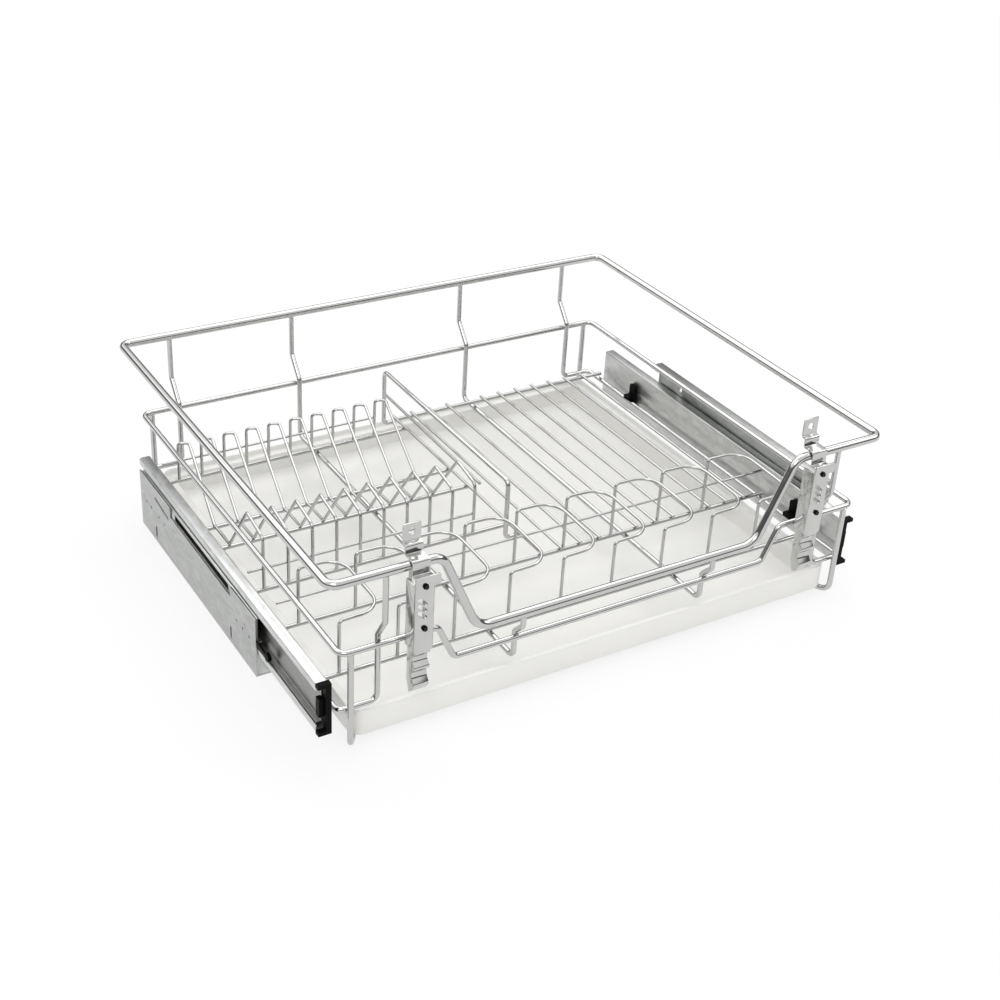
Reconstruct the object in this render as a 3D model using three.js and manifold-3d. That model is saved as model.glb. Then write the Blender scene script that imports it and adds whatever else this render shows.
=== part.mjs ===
import * as THREE from "three";
import { mergeVertices } from "three/addons/utils/BufferGeometryUtils.js";
import Module from "manifold-3d";

const wasm = await Module();
wasm.setup();

// Pull-out dish rack. Millimetres, x right, front of the rack towards minus y, z up.
// Every height is first counted from the centre line of the top rim and every depth from the
// centre line of its front run. The last lines move the whole rack onto its own floor.

// Whole sizes: the rack's width follows the clear width of the cabinet
const CABINET_WIDTH = 564;
const RIM_SIDE_ROOM = 7;
const RIM_DEPTH = 460;
const HALF_SHARE = 0.5;
const WELD_GAP = 0.3;
const UNION_BITE = 0.5;
const SIDE_BITE = 0.9;

// Wire radii
const RIM_RADIUS = 4;
const MID_RIM_RADIUS = 2.75;
const FRAME_RADIUS = 2.5;
const CARRIER_RADIUS = 2.75;
const RAIL_RADIUS = 2;
const LOOP_RADIUS = 1.5;
const THIN_RADIUS = 1.2;
const DIVIDER_RADIUS = 2.25;

// Tessellation
const THICK_SIDES = 8;
const WIRE_SIDES = 6;
const CORNER_STEPS = 3;
const SMALL_CORNER_STEPS = 2;
const HOLE_SIDES = 10;
const ARC_STEPS = 8;
const TRIANGLE_CORNERS = 3;
const MERGE_DISTANCE = 0.0001;

// Top rim with its front dip
const RIM_CORNER = 9;
const DIP_TOP_SHARE = 0.6473;
const DIP_SLOPE = 35;
const DIP_DROP = 78.5;
const DIP_TOP_CORNER = 14;
const DIP_BOTTOM_CORNER = 20;
const CUT_OVERRUN = 1;
const LEAST_STEP = 0.05;
const SEAM_GAP = 0.4;
const BEAD_HALF = 3;
const BEAD_RISE = 0.35;

// Frame wires that hang from the top rim, step inwards and carry the base
const OUTER_POST_IN = 48;
const INNER_POST_SHARE = 0.3564;
const BACK_STEP_TOP = 45;
const BACK_STEP_BOTTOM = 66.5;
const BACK_STEP_IN = 18;
const FRONT_STEP_TOP = 47;
const FRONT_STEP_BOTTOM = 66;
const FRONT_STEP_IN = 12;
const HOOK_STEP_TOP = 92;
const HOOK_STEP_BOTTOM = 104;
const FRAME_FLOOR = 131;
const FRAME_CORNER = 7;
const STEP_CORNER = 5;

// Mid rim, welded outside the stepped part of the frame wires
const MID_RIM_OUT = 0.5;
const MID_RIM_DROP = 72;
const MID_DIP_DROP = 106.5;
const MID_DIP_IN = 2;
const MID_DIP_SLOPE = 16;
const MID_RIM_CORNER = 8;
const MID_DIP_CORNER = 7;

// Two carrier wires under the drip tray, with a foot at each end
const CARRIER_LEG_IN = 9;
const CARRIER_RUN_IN = 9.5;
const CARRIER_DROP = 165;
const CARRIER_JOG = 14;
const CARRIER_CORNER = 7;

// Base: rails along x, runners along y
const RAIL_PAST = 1.5;
const BACK_RAIL_Y = 420;
const BACK_RAIL_LIFT = 1.6;
const RUNNER_FIRST_IN = 2.2;
const RUNNER_LAST_IN = 24;
const RUNNER_COUNT = 12;
const RUNNER_LEFT_OUT = 4;
const RUNNER_BACK_Y = 425;
const RUNNER_FRONT_Y = 126;

// Plate rack: ten wires, each bent in one run
const PLATE_COUNT = 10;
const PLATE_FIRST_IN = 16;
const PLATE_TO_DIVIDER = 21.6;
const PLATE_BACK_Y = 400;
const PLATE_TOP_DROP = 84;
const PLATE_TOP_SPAN = 10;
const PLATE_TOP_FORWARD = 4;
const PLATE_LEAN = 1;
const PLATE_SIDE_STEP = 2;
const PLATE_KNEE_Y = 305;
const PLATE_TOE_Y = 268;
const PLATE_PEAK_Y = 224;
const PLATE_PEAK_DROP = 65;
const PLATE_FRONT_Y = 190;
const PLATE_FRONT_DROP = 72;
const PLATE_CORNER = 4;
const PLATE_KNEE_CORNER = 7;
const MID_RAIL_DROP = 105;
const SIDE_WIRE_BACK_DROP = 81;
const SIDE_WIRE_FRONT_DROP = 70.5;
const SIDE_WIRE_END = 3;

// Bowl rack: nine round loops in the front row
const BOWL_COUNT = 9;
const BOWL_FIRST_IN = 19.5;
const BOWL_LAST_IN = 74.1;
const BOWL_BACK_Y = 129;
const BOWL_FRONT_Y = 50;
const BOWL_BACK_DROP = 69;
const BOWL_FRONT_DROP = 73;
const BOWL_CORNER = 5;
const BOWL_RAIL_DROP = 100;

// Divider between the plate side and the dish side
const DIVIDER_X = -12;
const DIVIDER_BACK_Y = 420;
const DIVIDER_FRONT_Y = 170;
const DIVIDER_TOP_DROP = 65;
const DIVIDER_BACK_FOOT = 11;
const DIVIDER_FRONT_FOOT = 16;
const DIVIDER_CORNER = 6;

// Front panel brackets: the right one is a copy of the left one, not its mirror image
const BRACKET_FROM_DIP = 21.2;
const BRACKET_WIDTH = 17.6;
const BRACKET_SHEET = 1.5;
const BRACKET_FRONT = 13.5;
const BRACKET_TOP = 5;
const BRACKET_BOTTOM = 75;
const FLANGE_TOP = 13;
const FLANGE_DEPTH = 16;
const EAR_PAST = 4.5;
const BRACKET_HOLE = 2.6;
const BRACKET_SLOT = 1.3;
const SLOT_REACH = 2.4;
const SLOT_ASIDE = 2.5;
const SLOT_SHARES = [0.35, 0.5, 0.66];
const SLOT_TILT = 2.2;
const UPPER_SCREW_DROP = 14;
const LOWER_SCREW_DROP = 53.5;
const STRAP_WIDTH = 16;
const STRAP_SHEET = 1.4;
const TAB_HOLE = 3;
const TAB_HOLE_HEIGHT = 22.5;
const STRAP_BEHIND = 12;
const STRAP_TOP = 30;
const STRAP_STEP_TOP = 13.5;
const STRAP_STEP_BACK = 7.5;
const STRAP_UNDER = 7.5;
const STRAP_LAP = 11;
const STRAP_END = 24;
const TOE_TOP = 50;
const TOE_LENGTH = 70;
const TOE_SHARES = [
  [1, 0.41],
  [0.55, 0.47],
  [0.55, 0.55],
  [1, 0.62],
  [0.5, 0.7],
  [0.55, 0.78],
  [0.95, 0.86],
  [0.6, 0.95],
  [0.2, 1],
];
const CHEEK_TOP = 14;
const CHEEK_BACK = 1.5;
const CHEEK_BOTTOM = 109;
const SCREW_HEAD = 3.6;
const SCREW_HEAD_HEIGHT = 1.6;
const SCREW_SHANK = 1.9;
const SCREW_LENGTH = 5.2;

// Telescopic slides, one on each side. The right one sits further back, as in use
const SLIDE_CENTRE_DROP = 123.5;
const SHEET = 1.2;
const RIGHT_SLIDE_BACK = 8.5;
const CHANNEL_DEPTH = 10.9;
const CHANNEL_HALF = 24.5;
const CHANNEL_FRONT_Y = 15;
const CHANNEL_LENGTH = 398;
const CHANNEL_LIP = 7;
const MIDDLE_IN = 2.7;
const MIDDLE_TIP_IN = 2;
const MIDDLE_FRONT_IN = 4;
const MIDDLE_BACK_IN = 2;
const RAIL_DEPTH = 4.8;
const RAIL_FRONT_IN = 2;
const RAIL_BACK_IN = 4;
const CAGE_SHEET = 0.6;
const CAGE_GAP = 0.4;
const OUTER_CAGE_START = 109;
const OUTER_CAGE_LENGTH = 134;
const OUTER_CAGE_TIP_IN = 1.6;
const OUTER_BALL_IN = 5.3;
const INNER_CAGE_START = 104;
const INNER_CAGE_LENGTH = 70;
const INNER_CAGE_TIP_IN = 2.2;
const INNER_BALL_IN = 3.9;
const BALL_RADIUS = 1.95;
const BALL_GAP = 0.35;
const BALL_SIDES = 6;
const BALL_HALF_STEPS = 4;
const BALL_COUNT = 3;
const BALL_END = 6;
const STOP_LENGTH = 6;
const STOP_HALF = 9;
const STOP_WIDTH = 4.2;

// Cabinet plates: the right one is the left one turned over and set further forward
const PLATE_SHEET = 1.5;
const LEFT_PLATE_FRONT_Y = 130;
const RIGHT_PLATE_FRONT_Y = 55;
const CABINET_PLATE_LENGTH = 280;
const CABINET_PLATE_LOW = 46.5;
const CABINET_PLATE_TALL = 13.5;
const BACK_TALL_LENGTH = 80;
const FRONT_TALL_LENGTH = 55;
const WINDOW_SILL = 3;
const WINDOW_END = 8;
const CABINET_FLANGE = 16;
const PLATE_SLOT_RADIUS = 2;
const PLATE_SLOT_SHARE = 0.28;
const PLATE_SLOT_REACH_SHARE = 0.2;
const PLATE_SLOT_LIFT = 0.5;
const PLATE_SLOT_TILT = 2;
const PLATE_HOLE_RADIUS = 1.5;
const PLATE_HOLE_DROP = 14;
const BACK_HOLE_SHARES = [0.21, 0.39, 0.65, 0.81];
const FRONT_HOLE_SHARES = [0.27, 0.52, 0.78];
const FLANGE_SLOT_RADIUS = 2.4;
const FLANGE_SLOT_LOW = 6;
const FLANGE_SLOT_HIGH = 15;
const FLANGE_SLOT_SHARES = [0.2, 0.86];
const RIVET_RADIUS = 1.5;
const RIVET_HEAD_RADIUS = 2.6;
const RIVET_HEAD_HEIGHT = 1;
const RIVET_DROP = 7.5;
const RIVET_SHARES = [0.0857, 0.68];
const LATCH_DROP = 11.5;
const LATCH_REACH = 22;
const LATCH_FALL = 1.5;
const LEVER_HALF = 1.8;
const KNOB_RADIUS = 4;
const KNOB_DEPTH = 3.3;

// Black end caps and the clips that hold the side runs to the slides
const CAP_DEPTH = 5.7;
const CAP_WIDTH = 4.4;
const CAP_OVERHANG = 0.6;
const CAP_HOOK_OUT = 0.2;
const CAP_HOOK = 3;
const CLIP_SHARES = [0.153, 0.847];
const CLIP_LENGTH = 9;
const CLIP_BODY = 4.2;
const CLIP_REACH = 7;
const CLIP_HOOK = 4;
const CLIP_UP = 18;
const CLIP_DOWN = 4;
const CLIP_HOLE_HALF = 4;

// Drip tray
const TRAY_SIDE_GAP = 1.25;
const TRAY_FRONT_GAP = 1;
const TRAY_BACK_GAP = 0.8;
const TRAY_TOP_DROP = 137;
const TRAY_WALL = 1.8;
const TRAY_FLOOR = 2;
const TRAY_CORNER = 12;
const TRAY_CORNER_STEPS = 4;
const TRAY_LEDGE = 8;
const TRAY_LEDGE_DROP = 5;

// Colours and finishes
const CHROME = { color: 0xdcdfe0, roughness: 0.16, metalness: 1 };
const ZINC = { color: 0xc3c7c5, roughness: 0.36, metalness: 1 };
const BLACK = { color: 0x101112, roughness: 0.5, metalness: 0 };
const GREY_WHITE = { color: 0xe7e6e1, roughness: 0.55, metalness: 0 };
const STEEL = { color: 0x9da1a1, roughness: 0.3, metalness: 1 };

const rack = new THREE.Group();
rack.name = "pull_out_dish_rack";

// A path that goes exactly through its points, with a tangent halfway between the two runs
class Bent extends THREE.Curve {
  constructor(points) {
    super();
    this.points = points;
  }

  getUtoTmapping(u) {
    return u;
  }

  getPoint(t) {
    const last = this.points.length - 1;
    const place = t * last;
    const index = Math.min(Math.floor(place + MERGE_DISTANCE), last);
    const next = Math.min(index + 1, last);
    const rest = Math.max(place - index, 0);
    return this.points[index].clone().lerp(this.points[next], rest);
  }

  getTangent(t) {
    const last = this.points.length - 1;
    const index = Math.round(t * last);
    const before = this.points[Math.max(index - 1, 0)];
    const here = this.points[index];
    const after = this.points[Math.min(index + 1, last)];
    const first = here.clone().sub(before).normalize();
    const second = after.clone().sub(here).normalize();
    return first.add(second).normalize();
  }
}

// A closed solid from a three.js geometry, faces turned outwards
function solidOf(geometry) {
  const flat = geometry.index ? geometry.toNonIndexed() : geometry;
  const bare = new THREE.BufferGeometry();
  bare.setAttribute("position", flat.getAttribute("position"));
  const merged = mergeVertices(bare, MERGE_DISTANCE);
  const vertProperties = merged.attributes.position.array;
  const triVerts = new Uint32Array(merged.index.array);
  const numProp = TRIANGLE_CORNERS;
  const made = new wasm.Manifold(new wasm.Mesh({ numProp, vertProperties, triVerts }));
  if (made.volume() > 0) {
    return made;
  }
  return new wasm.Manifold(
    new wasm.Mesh({ numProp, vertProperties, triVerts: triVerts.reverse() }),
  );
}

function unionOf(solids) {
  return solids.reduce((all, one) => all.add(one));
}

// A ring of points for a round section or a round hole
function ring(radius, sides, centreU = 0, centreV = 0) {
  const points = [];
  for (let i = 0; i < sides; i++) {
    const turn = ((i + HALF_SHARE) / sides) * Math.PI * 2;
    points.push([centreU + radius * Math.cos(turn), centreV + radius * Math.sin(turn)]);
  }
  return points;
}

// A slot with round ends between two points
function slot(fromU, fromV, toU, toV, radius) {
  const points = [];
  const heading = Math.atan2(toV - fromV, toU - fromU);
  const half = HOLE_SIDES * HALF_SHARE;
  for (let i = 0; i <= half; i++) {
    const turn = heading - Math.PI * HALF_SHARE + (i / half) * Math.PI;
    points.push([toU + radius * Math.cos(turn), toV + radius * Math.sin(turn)]);
  }
  for (let i = 0; i <= half; i++) {
    const turn = heading + Math.PI * HALF_SHARE + (i / half) * Math.PI;
    points.push([fromU + radius * Math.cos(turn), fromV + radius * Math.sin(turn)]);
  }
  return points;
}

function shapeOf(outline, holes = []) {
  const shape = new THREE.Shape(outline.map(([u, v]) => new THREE.Vector2(u, v)));
  for (const hole of holes) {
    shape.holes.push(new THREE.Path(hole.map(([u, v]) => new THREE.Vector2(u, v))));
  }
  return shape;
}

// Rounds the corners of a bent wire: each row is x, y, z and the bend radius there
function rounded(rows, steps) {
  const corners = rows.map(([x, y, z]) => new THREE.Vector3(x, y, z));
  const points = [corners[0]];
  for (let i = 1; i < corners.length - 1; i++) {
    const bend = rows[i][TRIANGLE_CORNERS] ?? 0;
    const back = corners[i - 1].clone().sub(corners[i]);
    const ahead = corners[i + 1].clone().sub(corners[i]);
    const room = Math.min(back.length(), ahead.length()) * HALF_SHARE;
    const angle = back.angleTo(ahead);
    const turn = Math.PI - angle;
    const reach = Math.min(bend * Math.tan(turn * HALF_SHARE), room);
    if (reach <= MERGE_DISTANCE) {
      points.push(corners[i]);
      continue;
    }
    const radius = reach / Math.tan(turn * HALF_SHARE);
    const bisector = back.clone().normalize().add(ahead.clone().normalize()).normalize();
    const centre = corners[i].clone();
    centre.addScaledVector(bisector, radius / Math.cos(turn * HALF_SHARE));
    const start = corners[i].clone().addScaledVector(back.clone().normalize(), reach);
    const arm = start.clone().sub(centre);
    const axis = back.clone().cross(arm).normalize();
    for (let k = 0; k <= steps; k++) {
      const spoke = arm.clone().applyAxisAngle(axis, (turn * k) / steps);
      points.push(centre.clone().add(spoke));
    }
  }
  points.push(corners[corners.length - 1]);
  return points;
}

// Drops points that lie on top of their neighbour
function spaced(points) {
  return points.filter((p, i) => i === 0 || p.distanceTo(points[i - 1]) > LEAST_STEP);
}

// A round wire through a row of points
function wireThrough(points, radius, sides) {
  const path = new Bent(spaced(points));
  const geometry = new THREE.ExtrudeGeometry(shapeOf(ring(radius, sides)), {
    steps: path.points.length - 1,
    extrudePath: path,
    bevelEnabled: false,
  });
  return solidOf(geometry);
}

function wire(rows, radius, sides = WIRE_SIDES, steps = CORNER_STEPS) {
  return wireThrough(rounded(rows, steps), radius, sides);
}

// A prism: the outline lies across the named axis and runs from one place to another along it
function prism(axis, outline, from, to, holes = []) {
  const geometry = new THREE.ExtrudeGeometry(shapeOf(outline, holes), {
    depth: Math.abs(to - from),
    bevelEnabled: false,
  });
  const x = new THREE.Vector3(1, 0, 0);
  const y = new THREE.Vector3(0, 1, 0);
  const z = new THREE.Vector3(0, 0, 1);
  const turned = new THREE.Matrix4();
  const start = Math.min(from, to);
  if (axis === "x") {
    turned.makeBasis(y, z, x);
    turned.setPosition(start, 0, 0);
  }
  if (axis === "y") {
    turned.makeBasis(x, z, y);
    turned.setPosition(0, start, 0);
  }
  if (axis === "z") {
    turned.makeBasis(x, y, z);
    turned.setPosition(0, 0, start);
  }
  return solidOf(geometry.applyMatrix4(turned));
}

function box(x0, x1, y0, y1, z0, z1) {
  const outline = [
    [x0, y0],
    [x1, y0],
    [x1, y1],
    [x0, y1],
  ];
  return prism("z", outline, z0, z1);
}

// A bent sheet: the row of points is its middle line, the sheet lies evenly on both sides
function bentSheet(points, sheet) {
  const half = sheet * HALF_SHARE;
  const left = [];
  const right = [];
  for (let i = 0; i < points.length; i++) {
    const here = new THREE.Vector2(...points[i]);
    const before = new THREE.Vector2(...points[Math.max(i - 1, 0)]);
    const after = new THREE.Vector2(...points[Math.min(i + 1, points.length - 1)]);
    const first = here.clone().sub(before);
    const second = after.clone().sub(here);
    const one = (i === 0 ? second : first).clone().normalize();
    const two = (i === points.length - 1 ? first : second).clone().normalize();
    const along = one.clone().add(two).normalize();
    const across = new THREE.Vector2(-along.y, along.x);
    const reach = half / Math.max(along.dot(one), HALF_SHARE);
    left.push([here.x + across.x * reach, here.y + across.y * reach]);
    right.unshift([here.x - across.x * reach, here.y - across.y * reach]);
  }
  return left.concat(right);
}

// A turned solid about the line through a centre, along the named axis
function turned(axis, profile, sides, centreX, centreY, centreZ) {
  const points = profile.map(([radius, height]) => new THREE.Vector2(radius, height));
  const geometry = new THREE.LatheGeometry(points, sides);
  if (axis === "x") {
    geometry.rotateZ(-Math.PI * HALF_SHARE);
  }
  if (axis === "z") {
    geometry.rotateX(Math.PI * HALF_SHARE);
  }
  geometry.translate(centreX, centreY, centreZ);
  return solidOf(geometry);
}

function ballAt(x, y, z) {
  const profile = [];
  for (let i = 0; i <= BALL_HALF_STEPS; i++) {
    const turn = -Math.PI * HALF_SHARE + (i / BALL_HALF_STEPS) * Math.PI;
    const across = i === 0 || i === BALL_HALF_STEPS ? 0 : BALL_RADIUS * Math.cos(turn);
    profile.push([across, BALL_RADIUS * Math.sin(turn)]);
  }
  return turned("y", profile, BALL_SIDES, x, y, z);
}

// The same solid on the other side of the middle plane
function mirrored(solid) {
  return solid.mirror([1, 0, 0]);
}

function onSide(side, solid) {
  return side === "left" ? mirrored(solid) : solid;
}

function geometryOf(solid) {
  const mesh = solid.getMesh();
  const geometry = new THREE.BufferGeometry();
  const places = new Float32Array((mesh.vertProperties.length / mesh.numProp) * TRIANGLE_CORNERS);
  for (let i = 0; i < places.length / TRIANGLE_CORNERS; i++) {
    for (let k = 0; k < TRIANGLE_CORNERS; k++) {
      places[i * TRIANGLE_CORNERS + k] = mesh.vertProperties[i * mesh.numProp + k];
    }
  }
  geometry.setAttribute("position", new THREE.BufferAttribute(places, TRIANGLE_CORNERS));
  geometry.setIndex(Array.from(mesh.triVerts));
  geometry.computeVertexNormals();
  return geometry;
}

function place(name, solid, finish) {
  const mesh = new THREE.Mesh(geometryOf(solid), new THREE.MeshStandardMaterial(finish));
  mesh.name = name;
  rack.add(mesh);
}

function straight(from, to, radius, sides = WIRE_SIDES) {
  return wire([from, to], radius, sides);
}

// Two mirrored halves of a rim, joined by a weld bead at the middle of the back and of the front
function closedRim(half, radius, sides, backY, backZ, frontY, frontZ) {
  const beadRadius = radius + BEAD_RISE;
  return unionOf([
    half,
    mirrored(half),
    straight([-BEAD_HALF, backY, backZ], [BEAD_HALF, backY, backZ], beadRadius, sides),
    straight([-BEAD_HALF, frontY, frontZ], [BEAD_HALF, frontY, frontZ], beadRadius, sides),
  ]);
}

// Places across the width, counted from the inner face of the cabinet's side: the cabinet plate,
// the slide against it, the side run of the frame against the slide's clips, then the rest
const plateOuter = CABINET_WIDTH * HALF_SHARE;
const plateInner = plateOuter - PLATE_SHEET;
const railTip = plateInner - WELD_GAP;
const railX = railTip - RAIL_DEPTH;
const channelTip = railTip;
const channelX = channelTip - CHANNEL_DEPTH;
const middleX = channelX + MIDDLE_IN;
const middleTip = railTip - MIDDLE_TIP_IN;
const clipX = channelX - WELD_GAP;
const sideRunX = clipX - CLIP_BODY - WELD_GAP - FRAME_RADIUS;
const rimHalf = plateOuter - RIM_SIDE_ROOM;
const dipTopHalf = rimHalf * DIP_TOP_SHARE;
const dipBottomHalf = dipTopHalf - DIP_SLOPE;
const midRimX = sideRunX + MID_RIM_OUT;
const midDipTopHalf = dipTopHalf - MID_DIP_IN;
const midDipBottomHalf = midDipTopHalf - MID_DIP_SLOPE;
const outerPostX = rimHalf - OUTER_POST_IN;
const innerPostX = rimHalf * INNER_POST_SHARE;
const carrierLegX = midRimX - CARRIER_LEG_IN;
const carrierRunX = carrierLegX - CARRIER_RUN_IN;
const railEndX = sideRunX + RAIL_PAST;
const bracketX = dipTopHalf + BRACKET_FROM_DIP;

// Top rim
const rightRim = [
  [SEAM_GAP, RIM_DEPTH, 0],
  [rimHalf, RIM_DEPTH, 0, RIM_CORNER],
  [rimHalf, 0, 0, RIM_CORNER],
  [dipTopHalf, 0, 0, DIP_TOP_CORNER],
  [dipBottomHalf, 0, -DIP_DROP, DIP_BOTTOM_CORNER],
  [SEAM_GAP, 0, -DIP_DROP],
];
const rightRimWire = wire(rightRim, RIM_RADIUS, THICK_SIDES, CORNER_STEPS);
const topRim = closedRim(rightRimWire, RIM_RADIUS, THICK_SIDES, RIM_DEPTH, 0, 0, -DIP_DROP);
place("top_rim", topRim, CHROME);

// Mid rim: it follows the dip and lies against the stepped frame wires
const midGap = FRAME_RADIUS + MID_RIM_RADIUS + WELD_GAP;
const frameFrontY = FRONT_STEP_IN;
const frameBackY = RIM_DEPTH - BACK_STEP_IN;
const midFrontY = frameFrontY - midGap;
const midBackY = frameBackY + midGap;
const rightMid = [
  [SEAM_GAP, midBackY, -MID_RIM_DROP],
  [midRimX, midBackY, -MID_RIM_DROP, MID_RIM_CORNER],
  [midRimX, midFrontY, -MID_RIM_DROP, MID_RIM_CORNER],
  [midDipTopHalf, midFrontY, -MID_RIM_DROP, MID_DIP_CORNER],
  [midDipBottomHalf, midFrontY, -MID_DIP_DROP, MID_DIP_CORNER],
  [SEAM_GAP, midFrontY, -MID_DIP_DROP],
];
const rightMidWire = wire(rightMid, MID_RIM_RADIUS, WIRE_SIDES, CORNER_STEPS);
const midRim = closedRim(
  rightMidWire,
  MID_RIM_RADIUS,
  WIRE_SIDES,
  midBackY,
  -MID_RIM_DROP,
  midFrontY,
  -MID_DIP_DROP,
);
place("mid_rim", midRim, CHROME);

// Frame wires: the outer pair turns out to the sides, the inner pair runs under the base
const rimUnder = RIM_RADIUS + WELD_GAP;
const outerFrame = [
  [outerPostX, RIM_DEPTH, -rimUnder],
  [outerPostX, RIM_DEPTH, -BACK_STEP_TOP, STEP_CORNER],
  [outerPostX, frameBackY, -BACK_STEP_BOTTOM, STEP_CORNER],
  [outerPostX, frameBackY, -FRAME_FLOOR, FRAME_CORNER],
  [sideRunX, frameBackY, -FRAME_FLOOR, FRAME_CORNER],
  [sideRunX, frameFrontY, -FRAME_FLOOR, FRAME_CORNER],
  [outerPostX, frameFrontY, -FRAME_FLOOR, FRAME_CORNER],
  [outerPostX, frameFrontY, -FRONT_STEP_BOTTOM, STEP_CORNER],
  [outerPostX, 0, -FRONT_STEP_TOP, STEP_CORNER],
  [outerPostX, 0, -rimUnder],
];
const innerFrame = [
  [innerPostX, RIM_DEPTH, -rimUnder],
  [innerPostX, RIM_DEPTH, -BACK_STEP_TOP, STEP_CORNER],
  [innerPostX, frameBackY, -BACK_STEP_BOTTOM, STEP_CORNER],
  [innerPostX, frameBackY, -FRAME_FLOOR, FRAME_CORNER],
  [innerPostX, frameFrontY, -FRAME_FLOOR, FRAME_CORNER],
  [innerPostX, frameFrontY, -HOOK_STEP_BOTTOM, STEP_CORNER],
  [innerPostX, 0, -HOOK_STEP_TOP, STEP_CORNER],
  [innerPostX, 0, -DIP_DROP - rimUnder],
];
for (const side of ["left", "right"]) {
  place(`outer_frame_wire_${side}`, onSide(side, wire(outerFrame, FRAME_RADIUS)), CHROME);
  place(`inner_frame_wire_${side}`, onSide(side, wire(innerFrame, FRAME_RADIUS)), CHROME);
}

// Carrier wires: a foot at the front, a run under the tray, a leg at the back
const carrierTop = MID_RIM_DROP + MID_RIM_RADIUS + WELD_GAP;
const carrier = [
  [carrierLegX, midFrontY, -carrierTop],
  [carrierLegX, midFrontY, -CARRIER_DROP, CARRIER_CORNER],
  [carrierRunX, midFrontY + CARRIER_JOG, -CARRIER_DROP, CARRIER_CORNER],
  [carrierRunX, midBackY - CARRIER_JOG, -CARRIER_DROP, CARRIER_CORNER],
  [carrierLegX, midBackY, -CARRIER_DROP, CARRIER_CORNER],
  [carrierLegX, midBackY, -carrierTop],
];
for (const side of ["left", "right"]) {
  place(`tray_carrier_${side}`, onSide(side, wire(carrier, CARRIER_RADIUS)), CHROME);
}

// Heights of the base wires, each resting on the one below
const railZ = -FRAME_FLOOR + FRAME_RADIUS + WELD_GAP + RAIL_RADIUS;
const loopBaseZ = railZ + RAIL_RADIUS + LOOP_RADIUS - SIDE_BITE;
const runnerZ = railZ + RAIL_RADIUS + WELD_GAP + LOOP_RADIUS;
const backRailZ = railZ + BACK_RAIL_LIFT;
const dividerFootZ = runnerZ - LOOP_RADIUS - WELD_GAP - DIVIDER_RADIUS;

// Base grid: a back rail with its runners. The rail starts at the divider's back foot
const backFootX = DIVIDER_X + DIVIDER_BACK_FOOT;
const frontFootX = DIVIDER_X + DIVIDER_FRONT_FOOT;
const backRailX = backFootX + WELD_GAP;
const runnerStartX = backRailX + RUNNER_FIRST_IN;
const runnerPitch = (sideRunX - RUNNER_LAST_IN - runnerStartX) / (RUNNER_COUNT - 1);
const gridWires = [
  straight([backRailX, BACK_RAIL_Y, backRailZ], [railEndX, BACK_RAIL_Y, backRailZ], RAIL_RADIUS),
];
for (let i = 0; i < RUNNER_COUNT; i++) {
  if (i === RUNNER_LEFT_OUT) {
    continue;
  }
  const x = runnerStartX + i * runnerPitch;
  gridWires.push(straight([x, RUNNER_BACK_Y, runnerZ], [x, RUNNER_FRONT_Y, runnerZ], LOOP_RADIUS));
}
place("base_grid", unionOf(gridWires), CHROME);

// Plate rack
function plateLoop(x) {
  const low = x - PLATE_SIDE_STEP;
  const topY = PLATE_BACK_Y - PLATE_LEAN;
  return [
    [x, PLATE_BACK_Y, railZ],
    [x, topY, -PLATE_TOP_DROP, PLATE_CORNER],
    [x + PLATE_TOP_SPAN, topY - PLATE_TOP_FORWARD, -PLATE_TOP_DROP, PLATE_CORNER],
    [low, PLATE_KNEE_Y, loopBaseZ, PLATE_KNEE_CORNER],
    [low, PLATE_TOE_Y, loopBaseZ, PLATE_CORNER],
    [low, PLATE_PEAK_Y, -PLATE_PEAK_DROP, PLATE_CORNER],
    [low, PLATE_FRONT_Y, -PLATE_FRONT_DROP, PLATE_KNEE_CORNER],
    [low, PLATE_FRONT_Y, railZ],
  ];
}
const plateWires = [];
for (const y of [PLATE_BACK_Y, PLATE_KNEE_Y, PLATE_TOE_Y, PLATE_FRONT_Y]) {
  plateWires.push(straight([-railEndX, y, railZ], [frontFootX, y, railZ], RAIL_RADIUS));
}
const besideLeg = LOOP_RADIUS + THIN_RADIUS - SIDE_BITE;
const plateStartX = PLATE_FIRST_IN - sideRunX;
const plateEndX = DIVIDER_X - PLATE_TO_DIVIDER;
const platePitch = (plateEndX - plateStartX) / (PLATE_COUNT - 1);
for (const y of [PLATE_BACK_Y - PLATE_LEAN * HALF_SHARE, PLATE_FRONT_Y]) {
  const railY = y + besideLeg;
  plateWires.push(
    straight([-sideRunX, railY, -MID_RAIL_DROP], [plateEndX, railY, -MID_RAIL_DROP], THIN_RADIUS),
  );
}
for (let i = 0; i < PLATE_COUNT; i++) {
  const loop = plateLoop(plateStartX + i * platePitch);
  plateWires.push(wire(loop, LOOP_RADIUS, WIRE_SIDES, SMALL_CORNER_STEPS));
}
place("plate_rack", unionOf(plateWires), CHROME);

// Side wire of the plate rack, from the last back loop to the last front loop
const besideLoop = LOOP_RADIUS + LOOP_RADIUS + WELD_GAP;
const sideWire = straight(
  [plateEndX + PLATE_TOP_SPAN + besideLoop, PLATE_BACK_Y + SIDE_WIRE_END, -SIDE_WIRE_BACK_DROP],
  [plateEndX - PLATE_SIDE_STEP + besideLoop, PLATE_FRONT_Y - SIDE_WIRE_END, -SIDE_WIRE_FRONT_DROP],
  LOOP_RADIUS,
);
place("plate_rack_side_wire", sideWire, CHROME);

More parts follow.
